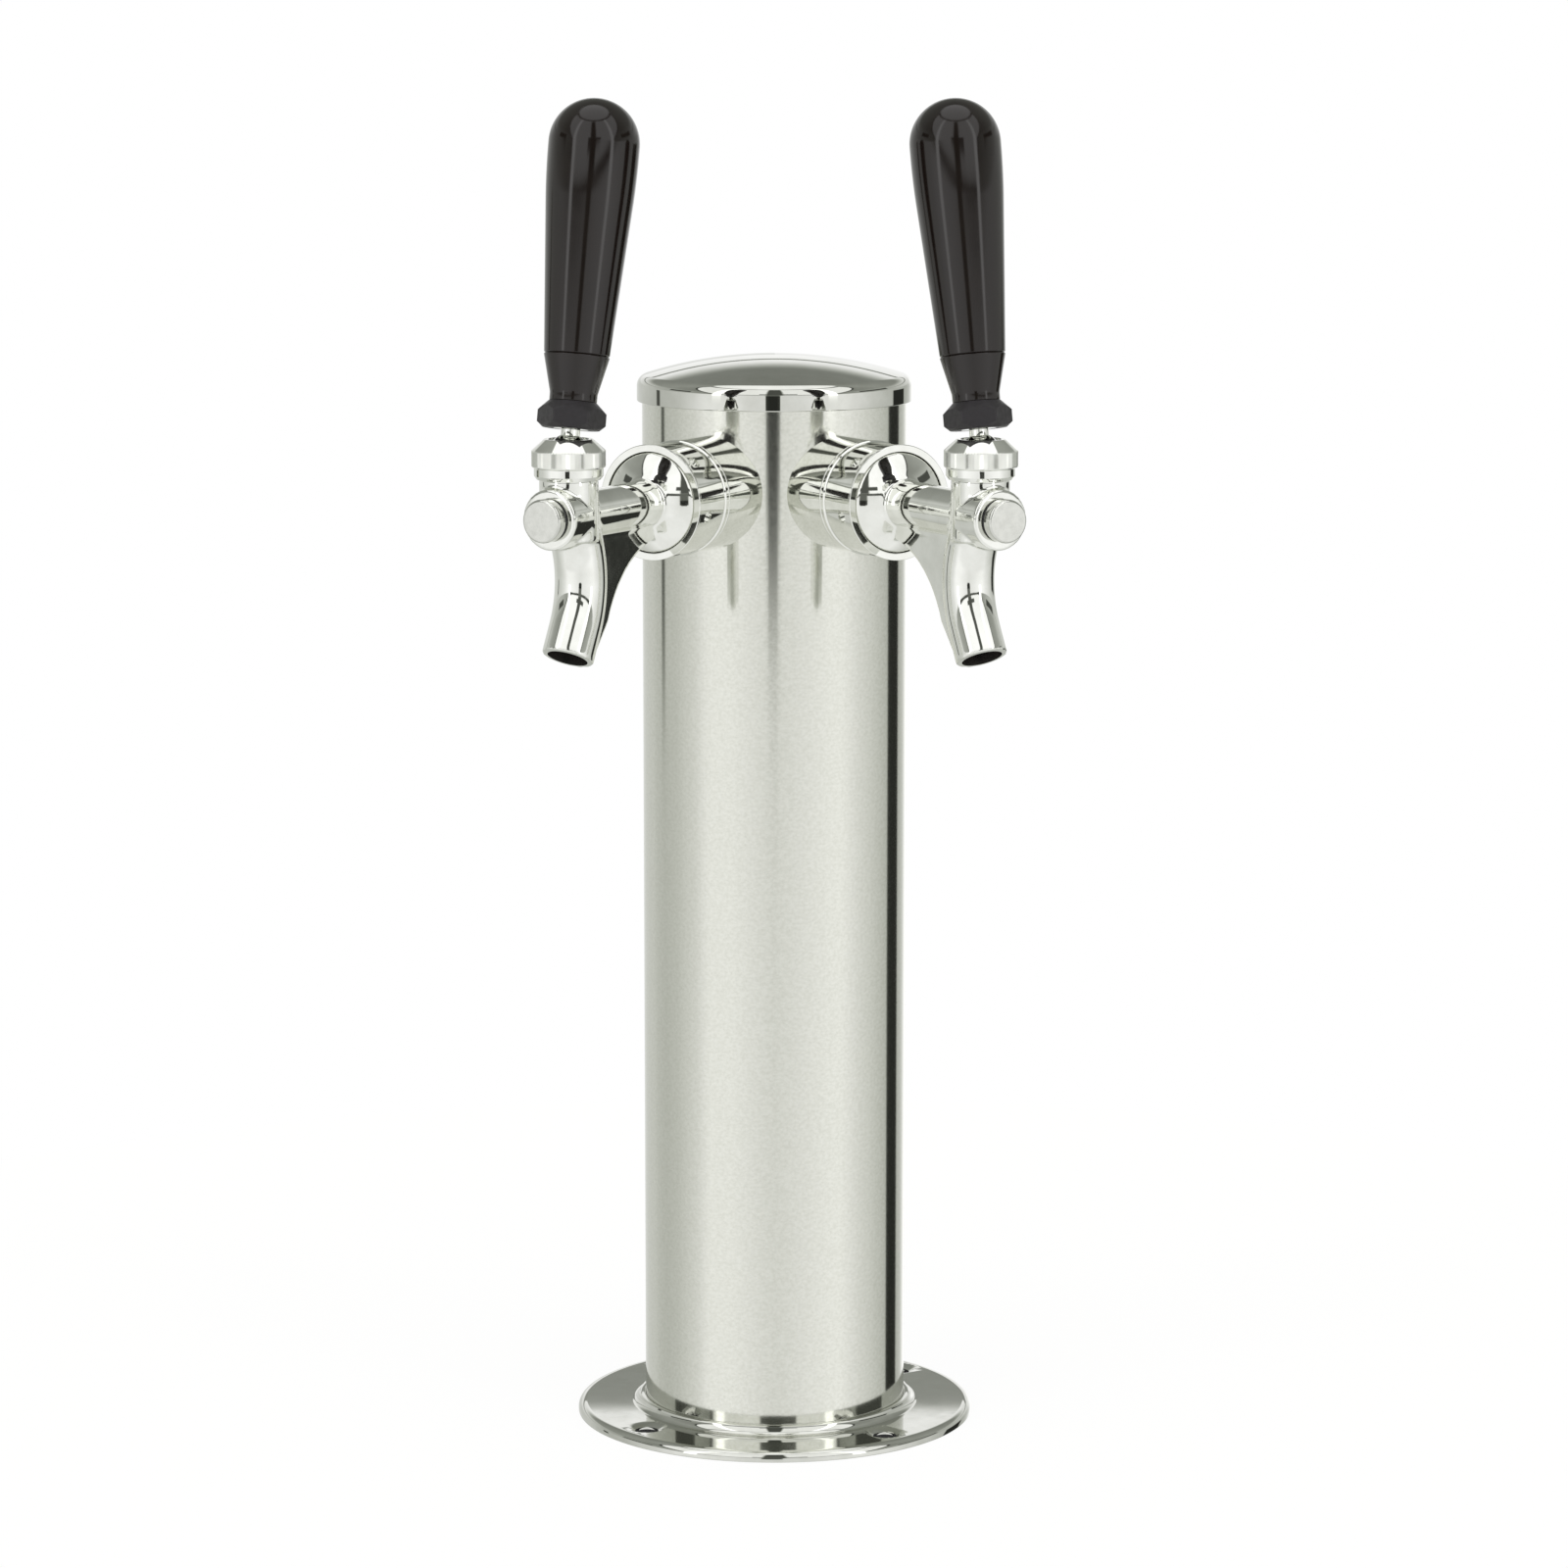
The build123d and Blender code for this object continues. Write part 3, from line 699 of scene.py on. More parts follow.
    def cap_shape(self) -> Shape:
        """Spun cap: a shallow dome turned down into a short skirt.

        Returns:
            The cap, where it sits on the column.
        """
        turn_radius = self.cap_radius - self.cap_shoulder
        turn_rise = sqrt((self.cap_dome - self.cap_shoulder) ** 2 - turn_radius ** 2)
        dome_centre = (0.0, self.cap_turn_height - turn_rise)
        shoulder_centre = (turn_radius, self.cap_turn_height)
        lean = degrees(asin(turn_radius / (self.cap_dome - self.cap_shoulder)))
        inner = self.cap_radius - self.cap_wall
        return (
            Outline(0, dome_centre[1] + self.cap_dome)
            .arc(dome_centre, -lean, steps=24).arc(shoulder_centre, lean - 90, steps=10)
            .line(self.cap_radius, self.cap_low, self.skirt_outer_round)
            .line(inner, self.cap_low, self.skirt_inner_round).line(inner, self.cap_turn_height)
            .arc(shoulder_centre, 90 - lean, steps=8).arc(dome_centre, lean, steps=16).turn(self.turn_steps))

    def sleeve_shape(self) -> Shape:
        """Foam tube with softly cut ends.

        Returns:
            The sleeve, where it stands in the column.
        """
        return (
            Outline(self.sleeve_bore, self.sleeve_low)
            .line(self.sleeve_radius, self.sleeve_low, self.sleeve_foot_round)
            .line(self.sleeve_radius, self.sleeve_top, self.sleeve_top_round)
            .line(self.sleeve_bore, self.sleeve_top, self.sleeve_top_round).close().turn(steps=96))

    def build(self) -> None:
        """Make and dress the tower's pieces."""
        for node, shape, finish, slot, body in (
            ("column", self.column_shape(), SATIN_TUBE, Slot.COLUMN, Body.TOWER),
            ("base_flange", self.flange_shape(), BUFFED_STAINLESS, Slot.POLISHED, Body.TOWER),
            ("tower_cap", self.cap_shape(), BUFFED_STAINLESS, Slot.POLISHED, Body.CAP),
            ("insulation_sleeve", self.sleeve_shape(), FOAM, Slot.FOAM, Body.TOWER),
        ):
            Piece(node, shape, Matrix.Identity(4), finish, slot, body.value).deliver()
        dress_node("base_gasket", NITRILE)


# ---- One tap ----

@dataclass
class TapAxes:
    """Places that the pieces of one tap share."""

    side: Side
    tap_height: float = TAP_HEIGHT
    azimuth: float = TAP_AZIMUTH
    lever_reach: float = 111.0
    pivot_height: float = 291.7
    lean: float = 9.5

    def dress(self, finish: Finish, *parts: str) -> None:
        """Give this tap's carried-over nodes their finish."""
        for part in parts:
            dress_node(self.side.node(part), finish)

    @cached_property
    def turn(self) -> Matrix:
        """Turn from straight ahead to this tap's direction."""
        return Matrix.Rotation(self.side.value * radians(self.azimuth), 4, "Z")

    @property
    def along(self) -> Matrix:
        """Place of a shape turned about the tap's axis, its height becoming the reach."""
        return self.turn @ Matrix.Translation((0, 0, self.tap_height)) @ Matrix.Rotation(pi / 2, 4, "X")

    @property
    def upright(self) -> Matrix:
        """Place of a shape turned about the barrel's axis."""
        return self.turn @ Matrix.Translation((0, -self.lever_reach, 0))

    @property
    def lever(self) -> Matrix:
        """Place of a shape turned about the lever, its height measured from the pivot."""
        pivot = Matrix.Translation((0, -self.lever_reach, self.pivot_height))
        return self.turn @ pivot @ Matrix.Rotation(-radians(self.lean), 4, "X")


@dataclass
class Coupling:
    """The collar on the column and the spanner nut that holds the faucet."""

    axes: TapAxes
    saddle_radius: float = 38.15
    collar_rear: float = 33.0
    collar_face: float = 52.9
    collar_radius: float = 16.0
    collar_round: float = 0.6
    shank_gap_radius: float = 11.15
    shoulder_gap_radius: float = 12.65
    shoulder_length: float = 3.5
    nut_rear: float = 53.0
    nut_front: float = 69.0
    nut_radius: float = 15.7
    rim_radius: float = 16.1
    rear_rim: float = 1.5
    front_rim: float = 0.9
    rim_slope: float = 0.4
    rim_round: float = 0.22
    thread_radius: float = 14.1
    lip: float = 1.5
    lip_bore: float = 11.3
    hole_reach: float = 63.3
    hole_radius: float = 1.8
    hole_depth: float = 1.2
    hole_count: int = 6
    hole_first_angle: float = -14.0

    def collar_shape(self) -> Shape:
        """Collar with a rounded front edge and a saddle-shaped back.

        Returns:
            The collar, turned about the tap's axis.
        """
        step = self.collar_face - self.shoulder_length
        ring = (
            Outline(self.shank_gap_radius, self.collar_rear).line(self.collar_radius, self.collar_rear)
            .line(self.collar_radius, self.collar_face, self.collar_round)
            .line(self.shoulder_gap_radius, self.collar_face).line(self.shoulder_gap_radius, step)
            .line(self.shank_gap_radius, step).close().turn())
        end = Vector((0, HALF_CUT, 0))
        return combined(ring, [bar(-end, end, self.saddle_radius, steps=256)])

    def nut_shape(self) -> Shape:
        """Round nut with a rim at each end and blind spanner holes.

        Returns:
            The nut, turned about the tap's axis.
        """
        rear_foot = self.nut_rear + self.rear_rim
        front_foot = self.nut_front - self.front_rim
        lip_front = self.nut_rear + self.lip
        nut = (
            Outline(self.lip_bore, self.nut_rear).line(self.rim_radius, self.nut_rear, self.rim_round)
            .line(self.rim_radius, rear_foot, self.rim_round)
            .line(self.nut_radius, rear_foot + self.rim_slope, self.rim_round)
            .line(self.nut_radius, front_foot - self.rim_slope, self.rim_round)
            .line(self.rim_radius, front_foot, self.rim_round)
            .line(self.rim_radius, self.nut_front, self.rim_round)
            .line(self.thread_radius, self.nut_front, self.rim_round)
            .line(self.thread_radius, lip_front).line(self.lip_bore, lip_front).close().turn())
        return combined(nut, [self.hole_cutter(index) for index in range(self.hole_count)])

    def hole_cutter(self, index: int) -> Shape:
        """Cutter for one spanner hole.

        Args:
            index: Which of the holes.

        Returns:
            The cutter.
        """
        angle = radians(self.hole_first_angle + index * 360 / self.hole_count)
        outward = Vector((-self.axes.side.value * cos(angle), sin(angle), 0))
        seat = outward * (self.nut_radius - self.hole_depth)
        reach = Vector((0, 0, self.hole_reach))
        return bar(reach + seat, reach + outward * (self.nut_radius + OVERLAP), self.hole_radius, steps=32)

    def build(self) -> None:
        """Make and dress the collar and the nut, and dress what they hide."""
        side, tower = self.axes.side, Body.TOWER.value
        for part, shape in (("shank_collar", self.collar_shape()), ("coupling_nut", self.nut_shape())):
            Piece(side.node(part), shape, self.axes.along, TURNED_CHROME, Slot.CHROME, tower).deliver()
        self.axes.dress(BARE_BRASS, "shank", "shank_locknut", "tail_elbow")
        self.axes.dress(NITRILE, "shank_washer", "coupling_washer")


@dataclass
class Spout:
    """Centre line of the spout in the tap's side plane: straight in, one bend forward, straight out."""

    start: Corner = (109.18, 275.2)
    bend_start: Corner = (106.285, 265.717)
    bend_centre: Corner = (133.062, 257.531)
    bend_angle: float = 44.0
    bend_middle: Corner = (105.169, 255.091)
    tilt: float = 27.0
    straight: float = 9.0
    round_steps: int = 64
    bend_steps: int = 24

    @staticmethod
    def point(corner: Corner) -> Vector:
        """Point of the side plane, from its reach and height."""
        return Vector((0, -corner[0], corner[1]))

    @property
    def out(self) -> Vector:
        """Direction in which the spout points."""
        return Vector((0, -sin(radians(self.tilt)), -cos(radians(self.tilt))))

    def tube(self, radius: float, overshoot: float = 0.0) -> Shape:
        """Round bar along the centre line.

        Args:
            radius: Radius of the bar.
            overshoot: Length that it sticks out of the outlet.

        Returns:
            The closed bar.
        """
        start = self.point(self.start)
        lead = self.point(self.bend_start) - start
        made = bmesh.new()
        place = Matrix.Translation(start) @ lead.to_track_quat("Z", "X").to_matrix().to_4x4()
        bmesh.ops.create_circle(
            made, cap_ends=True, segments=self.round_steps, radius=radius, matrix=place)
        bend = swept(
            made, pushed(made, made.faces[:], lead), self.point(self.bend_centre), (1, 0, 0),
            -radians(self.bend_angle), self.bend_steps)
        pushed(made, of_kind(bend, Face), self.out * (self.straight + overshoot))
        bmesh.ops.recalc_face_normals(made, faces=made.faces)
        return made


@dataclass
class FaucetCasting:
    """Cast body of a faucet: threaded rear, dome, arm, barrel, boss, spout and keel."""

    axes: TapAxes
    spout: Spout = field(default_factory=Spout)
    rear: float = 58.85
    thread_front: float = 67.45
    thread_radius: float = 14.02
    dome_edge: float = 14.0
    dome_rear: float = 68.6
    dome_rise: float = 4.6
    arm_radius: float = 6.5
    barrel_radius: float = 8.0
    barrel_low: float = 268.7
    shoulder: float = 285.4
    neck_radius: float = 7.7
    neck_top: float = 288.4
    boss_radius: float = 8.3
    boss_face: float = 121.2
    spout_radius: float = 7.15
    spout_bore: float = 5.6
    chamber_radius: float = 6.4
    chamber_front: float = 70.35
    guide_radius: float = 4.66
    stub_radius: float = 4.95
    stub_rear: float = 117.5
    barrel_bore: float = 6.8
    relief_half_width: float = 2.1
    relief_rear: float = 102.48
    relief_height: float = 5.66
    web_thickness: float = 6.0
    web_root: Corner = (71.0, 265.5)
    web_waist: Corner = (95.61, 245.21)
    web_bulge: float = 4.2
    web_foot_back: Corner = (104.30, 234.57)
    web_foot: Corner = (111.47, 238.23)
    bore_overshoot: float = 1.5
    bar_steps: int = 96
    voxel: float = 0.36
    smoothing_share: float = 0.5
    smoothing_rounds: int = 14
    wall_tolerance: float = 0.02

    def reach_point(self, reach: float) -> Vector:
        """Point on the tap's axis."""
        return Vector((0, -reach, self.axes.tap_height))

    def along_tap(self, start: float, end: float, radius: float) -> Shape:
        """Round bar on the tap's axis between two reaches."""
        return bar(self.reach_point(start), self.reach_point(end), radius, self.bar_steps)

    def up_barrel(self, low: float, high: float, radius: float) -> Shape:
        """Round bar on the barrel's axis between two heights."""
        reach = self.axes.lever_reach
        return bar(Vector((0, -reach, low)), Vector((0, -reach, high)), radius, self.bar_steps)

    def dome_shape(self) -> Shape:
        """Convex shoulder inside the coupling nut's front rim.

        Returns:
            The dome with the disc behind it, in the side plane's axes.
        """
        sphere = (self.dome_edge ** 2 + self.dome_rise ** 2) / (2 * self.dome_rise)
        crest = self.dome_rear + self.dome_rise
        swing = degrees(asin(self.dome_edge / sphere))
        foot = self.thread_front - OVERLAP
        dome = (
            Outline(0, foot).line(self.dome_edge, foot).line(self.dome_edge, self.dome_rear)
            .arc((0, crest - sphere), swing, steps=20).turn())
        place = Matrix.Translation((0, 0, self.axes.tap_height)) @ Matrix.Rotation(pi / 2, 4, "X")
        bmesh.ops.transform(dome, matrix=place, verts=dome.verts)
        return dome

    def web_shape(self) -> Shape:
        """Flat keel under the arm, swept down to the back of the spout.

        Returns:
            The closed plate, with half of it on each side of the side plane.
        """
        height, half = self.axes.tap_height, self.web_thickness / 2
        root, waist = Vector(self.web_root), Vector(self.web_waist)
        chord = waist - root
        radius = (chord.length_squared / 4 + self.web_bulge ** 2) / (2 * self.web_bulge)
        across = Vector((-chord.y, chord.x)).normalized()
        centre = (root + waist) / 2 - across * (radius - self.web_bulge)
        swing = 2 * asin(chord.length / 2 / radius)
        plate = bmesh.new()
        tip = plate.verts.new(Spout.point(self.web_root))
        last = of_kind(swept(plate, [tip], Spout.point(centre), (1, 0, 0), swing, steps=20), Vertex)[0]
        for corner in (self.web_foot_back, self.web_foot, self.spout.bend_middle,
                       (self.spout.bend_start[0], height), (self.web_root[0], height)):
            following = plate.verts.new(Spout.point(corner))
            plate.edges.new((last, following))
            last = following
        plate.edges.new((last, tip))
        bmesh.ops.contextual_create(plate, geom=plate.edges[:])
        bmesh.ops.translate(plate, vec=(-half, 0, 0), verts=plate.verts)
        pushed(plate, plate.faces[:], Vector((self.web_thickness, 0, 0)))
        bmesh.ops.recalc_face_normals(plate, faces=plate.faces)
        return plate

    def cast_blank(self) -> Shape:
        """Outside of the casting, its corners run together as in a mould.

        Returns:
            The casting as one skin, before it is bored.
        """
        reach = self.axes.lever_reach
        rough = loose_object(in_one([
            self.along_tap(self.rear, self.thread_front, self.thread_radius),
            self.dome_shape(),
            self.along_tap(self.thread_front, reach, self.arm_radius),
            self.up_barrel(self.barrel_low, self.shoulder, self.barrel_radius),
            self.up_barrel(self.shoulder - OVERLAP, self.neck_top, self.neck_radius),
            self.along_tap(reach, self.boss_face, self.boss_radius),
            self.web_shape(),
            self.spout.tube(self.spout_radius),
        ]), "rough")
        remesh = rough.modifiers.new("one skin", "REMESH")
        remesh.mode, remesh.voxel_size = "VOXEL", self.voxel
        smooth = rough.modifiers.new("mould rounding", "SMOOTH")
        smooth.factor, smooth.iterations = self.smoothing_share, self.smoothing_rounds
        return settled(rough)

    def bores(self) -> list[Shape]:
        """Cutters for everything that is drilled out of the casting.

        Returns:
            Closed cutters, some of which overlap, new ones at every call.
        """
        height, reach = self.axes.tap_height, self.axes.lever_reach
        low = Vector((-self.relief_half_width, -reach, height))
        high = Vector((self.relief_half_width, -self.relief_rear, height + self.relief_height))
        past_boss = self.boss_face + OVERLAP
        return [
            self.along_tap(self.rear - OVERLAP, self.chamber_front, self.chamber_radius),
            self.along_tap(self.chamber_front - OVERLAP, past_boss, self.guide_radius),
            self.along_tap(self.stub_rear, past_boss, self.stub_radius),
            self.up_barrel(height, self.neck_top + OVERLAP, self.barrel_bore),
            block(low, high),
            self.spout.tube(self.spout_bore, self.bore_overshoot),
        ]

    def casting_shape(self) -> Shape:
        """The bored casting, with material index 1 on the faces that a cutter left.

        Returns:
            The casting, in the side plane's axes.
        """
        cutters = in_one(self.bores())
        walls = BVHTree.FromBMesh(cutters)
        cutters.free()
        shape = combined(self.cast_blank(), self.bores())
        for face in shape.faces:
            on_wall = walls.find_nearest(face.calc_center_median(), self.wall_tolerance)[0]
            face.material_index = int(on_wall is not None)
        return shape

    def build(self) -> None:
        """Make and dress the casting."""
        # The faces left by the bores are lined with the nearly black painted shade.
        Piece(self.axes.side.node("faucet_body"), self.casting_shape(), self.axes.turn, CAST_CHROME,
              Slot.CHROME, Body.TOWER.value, even_normals=False, lining=BORE_PAINTED_SHADE).deliver()


@dataclass
class FrontPlug:
    """Screw plug in the boss, its gasket and the valve behind it."""

    axes: TapAxes
    disc_radius: float = 5.9
    disc_rear: float = 121.9
    disc_front: float = 125.1
    face_round: float = 0.7
    disc_rear_round: float = 0.2
    stub_radius: float = 4.9
    stub_rear: float = 117.8
    stub_round: float = 0.3

    def plug_shape(self) -> Shape:
        """Round plug with a rounded front edge and a stub.

        Returns:
            The plug, turned about the tap's axis.
        """
        return (
            Outline(0, self.stub_rear).line(self.stub_radius, self.stub_rear, self.stub_round)
            .line(self.stub_radius, self.disc_rear)
            .line(self.disc_radius, self.disc_rear, self.disc_rear_round)
            .line(self.disc_radius, self.disc_front, self.face_round).line(0, self.disc_front)
            .turn(steps=96))

    def build(self) -> None:
        """Make and dress the plug, and dress the gasket and the valve."""
        Piece(self.axes.side.node("front_plug"), self.plug_shape(), self.axes.along, FACED_CHROME,
              Slot.CHROME, Body.TOWER.value).deliver()
        self.axes.dress(NITRILE, "plug_gasket", "valve_washer")
        self.axes.dress(TURNED_CHROME, "valve_shaft", "valve_nut")
        self.axes.dress(ACETAL, "ball_washer", "friction_washer")


@dataclass
class Bonnet:
    """Knurled cap nut over the barrel's neck."""

    axes: TapAxes
    foot: float = 285.4
    foot_radius: float = 8.7
    foot_round: float = 0.15
    band_low: float = 286.4
    band_radius: float = 9.4
    band_foot_round: float = 0.2
    band_top_round: float = 0.1
    knurl_low: float = 288.5
    knurl_bevel: float = 0.3
    knurl_radius: float = 9.9
    knurl_high: float = 293.6
    rim: float = 296.3
    rim_radius: float = 6.6
    rim_round: float = 0.25
    mouth_bore: float = 5.5
    mouth_round: float = 0.2
    seat_radius: float = 6.08
    seat_rise: float = 2.7
    neck_bore: float = 7.75
    slot_count: int = 6
    slot_width: float = 1.2
    slot_height: float = 1.9
    slot_depth: float = 0.8
    knurl_columns: int = 84
    knurl_rows: int = 7
    knurl_height: float = 0.16
    knurl_margin: float = 0.2

    def turned_shape(self) -> Shape:
        """Bonnet before its slots and knurl.

        Returns:
            The plain bonnet, turned about the barrel's axis.
        """
        pivot = self.axes.pivot_height
        lift = degrees(asin(self.seat_rise / self.seat_radius))
        return (
            Outline(self.neck_bore, self.foot).line(self.foot_radius, self.foot, self.foot_round)
            .line(self.band_radius, self.band_low, self.band_foot_round)
            .line(self.band_radius, self.knurl_low, self.band_top_round)
            .line(self.knurl_radius, self.knurl_low + self.knurl_bevel)
            .line(self.knurl_radius, self.knurl_high - self.knurl_bevel, cuts=self.knurl_rows - 1)
            .line(self.knurl_radius - self.knurl_bevel, self.knurl_high)
            .line(self.rim_radius, self.rim, self.rim_round)
            .line(self.mouth_bore, self.rim, self.mouth_round)
            .line(self.seat_radius * cos(radians(lift)), pivot + self.seat_rise)
            .arc((0, pivot), -lift, steps=6).line(self.neck_bore, pivot).close().turn(self.knurl_columns))

    def slot_cutter(self, index: int) -> Shape:
        """Cutter for one spanner slot in the band.

        Args:
            index: Which of the slots.

        Returns:
            The cutter.
        """
        inner, outer = self.band_radius - self.slot_depth, self.band_radius + 2 * OVERLAP
        slot = block(Vector((inner, -self.slot_width / 2, self.band_low)),
                     Vector((outer, self.slot_width / 2, self.band_low + self.slot_height)))
        turn = Matrix.Rotation(index * FULL_TURN / self.slot_count, 4, "Z")
        bmesh.ops.transform(slot, matrix=turn, verts=slot.verts)
        return slot

    def knurl(self, shape: Shape) -> None:
        """Press a diamond knurl into the widest band.

        Args:
            shape: The bonnet, changed in place.
        """
        low, high = self.knurl_low + self.knurl_bevel, self.knurl_high - self.knurl_bevel
        nearest = self.band_radius + self.knurl_margin

        def in_band(face: Face) -> bool:
            """Whether a face belongs to the knurled band."""
            middle = face.calc_center_median()
            return low < middle.z < high and middle.xy.length > nearest

        band = [face for face in shape.faces if in_band(face)]
        seams = {edge for face in band for edge in face.edges if all(in_band(f) for f in edge.link_faces)}
        bmesh.ops.poke(shape, faces=band, offset=0.0)
        bmesh.ops.dissolve_edges(shape, edges=list(seams), use_verts=False)
        diamonds = [face for face in shape.faces if in_band(face) and len(face.verts) == 4]
        bmesh.ops.poke(shape, faces=diamonds, offset=self.knurl_height)

    def build(self) -> None:
        """Make and dress the bonnet."""
        shape = combined(self.turned_shape(), [self.slot_cutter(index) for index in range(self.slot_count)])
        self.knurl(shape)
        Piece(self.axes.side.node("bonnet"), shape, self.axes.upright, TURNED_CHROME, Slot.CHROME,
              Body.TOWER.value).deliver()


@dataclass
class LeverAndHandle:
    """The lever on its ball, the jam nut and the handle screwed on it, as heights from the pivot."""

    axes: TapAxes
    ball: float = 6.0
    neck: float = 2.6
    neck_fillet: float = 0.3
    thread: float = 4.76
    thread_start: float = 7.25
    thread_length: float = 27.0
    thread_end_round: float = 0.8
    stem: float = 1.3
    tip: float = 2.2
    tip_drop: float = 15.2
    nut_corner: float = 9.4
    nut_low_end: float = 7.7
    nut_foot_chamfer: float = 1.5
    nut_top_chamfer: float = 2.9
    nut_edge_round: float = 0.3
    nut_foot_round: float = 0.3
    nut_top_round: float = 0.2
    nut_thread_gap: float = 0.05
    handle_base: float = 14.65
    handle_neck: float = 6.45
    handle_foot_round: float = 0.25
    neck_height: float = 2.2
    neck_bend: float = 4.0
    line_radius: float = 8.9
    line_height: float = 12.6
    groove: float = 0.3
    groove_round: float = 0.12
    taper_ring: float = 20.0
    shoulder_radius: float = 11.9
    shoulder_height: float = 54.5
    top_radius: float = 12.35
    knee_share: float = 0.98
    handle_length: float = 81.8
    insert_radius: float = 5.55
    insert_length: float = 20.0
    turn_steps: int = 144

    def lever_shape(self) -> Shape:
        """Tip, stem, ball, neck and threaded stub in one turned piece.

        Returns:
            The lever, with its ball's centre at the origin.
        """
        tip_angle = degrees(acos(self.stem / self.tip))
        low_angle = degrees(acos(self.stem / self.ball))
        high_angle = degrees(acos(self.neck / self.ball))
        end = self.thread_start + self.thread_length
        return (
            Outline(0, -self.tip_drop - self.tip).arc((0, -self.tip_drop), 90 + tip_angle, steps=14)
            .line(self.ball * cos(radians(low_angle)), -self.ball * sin(radians(low_angle)))
            .arc((0, 0), low_angle + high_angle, steps=28)
            .line(self.neck, self.thread_start, self.neck_fillet).line(self.thread, self.thread_start)
            .line(self.thread, end, self.thread_end_round).line(0, end).turn(steps=72))

    def jam_nut_shape(self) -> Shape:
        """Hexagonal nut, its corners turned off at both ends.

        Returns:
            The nut, on the lever's axis.
        """
        low, high = self.thread_start, self.handle_base
        bore = self.thread + self.nut_thread_gap
        blank = bmesh.new()
        bmesh.ops.create_circle(
            blank, cap_ends=True, segments=6, radius=self.nut_corner,
            matrix=Matrix.Translation((0, 0, low - OVERLAP)))
        pushed(blank, blank.faces[:], Vector((0, 0, high - low + 2 * OVERLAP)))
        bmesh.ops.recalc_face_normals(blank, faces=blank.faces)
        upright = [edge for edge in blank.edges if edge.verts[0].co.z != edge.verts[1].co.z]
        bmesh.ops.bevel(
            blank, geom=upright, offset=self.nut_edge_round, offset_type="OFFSET", segments=3, profile=0.5,
            affect="EDGES", material=-1)
        turned = (
            Outline(bore, low).line(self.nut_low_end, low, self.nut_foot_round)
            .line(self.nut_corner, low + self.nut_foot_chamfer)
            .line(self.nut_corner, high - self.nut_top_chamfer)
            .line(self.handle_neck, high, self.nut_top_round).line(bore, high).close()
            .turn(self.turn_steps))
        return combined(turned, [blank], Cut.INTERSECT)

    def handle_shape(self) -> Shape:
        """Tapered handle with a hemispherical top and one fine parting groove.

        Returns:
            The handle, on the lever's axis, with a hole for the insert.
        """
        base = self.handle_base
        line, shoulder = base + self.line_height, base + self.shoulder_height
        ball_height = base + self.handle_length - self.top_radius
        slope = (self.shoulder_radius - self.line_radius) / (shoulder - line)
        knee = shoulder + (self.top_radius - self.shoulder_radius) / slope
        bend = atan2(slope, 1)
        # The knee's rounding reaches almost down to the shoulder, and an extra ring divides the long taper.
        knee_radius = (knee - shoulder) * self.knee_share / tan(bend / 2)
        return (
            Outline(0, base + self.insert_length).line(self.insert_radius, base + self.insert_length)
            .line(self.insert_radius, base).line(self.handle_neck, base, self.handle_foot_round)
            .line(self.handle_neck, base + self.neck_height, self.neck_bend)
            .line(self.line_radius, line - self.groove, self.groove_round)
            .line(self.line_radius - self.groove, line)
            .line(self.line_radius, line + self.groove, self.groove_round)
            .line(self.line_radius + slope * self.taper_ring, line + self.taper_ring)
            .line(self.top_radius, knee, knee_radius).line(self.top_radius, ball_height)
            .arc((0, ball_height), 90, steps=24).turn(self.turn_steps))

    def build(self) -> None:
        """Make and dress the lever, the jam nut and the handle, and dress the insert."""
        side = self.axes.side
        for part, shape, finish, slot in (
            ("lever", self.lever_shape(), TURNED_CHROME, Slot.CHROME),
            ("handle_ferrule", self.jam_nut_shape(), BLACK_OXIDE, Slot.BLACK),
            ("handle", self.handle_shape(), PHENOLIC, Slot.BLACK),
        ):
            Piece(side.node(part), shape, self.axes.lever, finish, slot, side.node("lever")).deliver()
        self.axes.dress(BARE_BRASS, "handle_insert")


# ---- Studio ----

@dataclass(frozen=True)
class Band:
    """Ring of the light tent between two heights, brighter and darker by direction.

    Attributes:
        start: Elevation at which it takes over from the band below.
        fade: Angle over which it does so.
        stops: Azimuths with their brightness, 1 being a plain white.
    """

    start: float
    fade: float
    stops: tuple[tuple[float, float], ...]


@dataclass(frozen=True)
class Panel:
    """Lamp or dark flag in the light tent, by direction from the object.

    Attributes:
        azimuth: Direction of its middle: 0 in front of the object, 90 towards +X.
        elevation: Height of its middle above the horizon.
        width: Angle that it covers sideways.
        height: Angle that it covers upwards.
        light: How bright it is, 1 being a plain white.
        edge: Angle over which it fades out.
        flare: How many degrees each side spreads for every degree above its middle.
    """

    azimuth: float
    elevation: float
    width: float
    height: float
    light: float
    edge: float = 2.0
    flare: float = 0.0


# Walls of the tent that three of its bands share: the front and sides, and the same with a bright back.
FRONT_WALLS = ((-110, 0.55), (-85, 0.50), (-60, 0.36), (60, 0.36), (85, 0.50), (110, 0.55))
WALLS_BRIGHT_BEHIND = ((-180, 1.1), (-158, 0.9), *FRONT_WALLS, (158, 0.9), (180, 1.1))


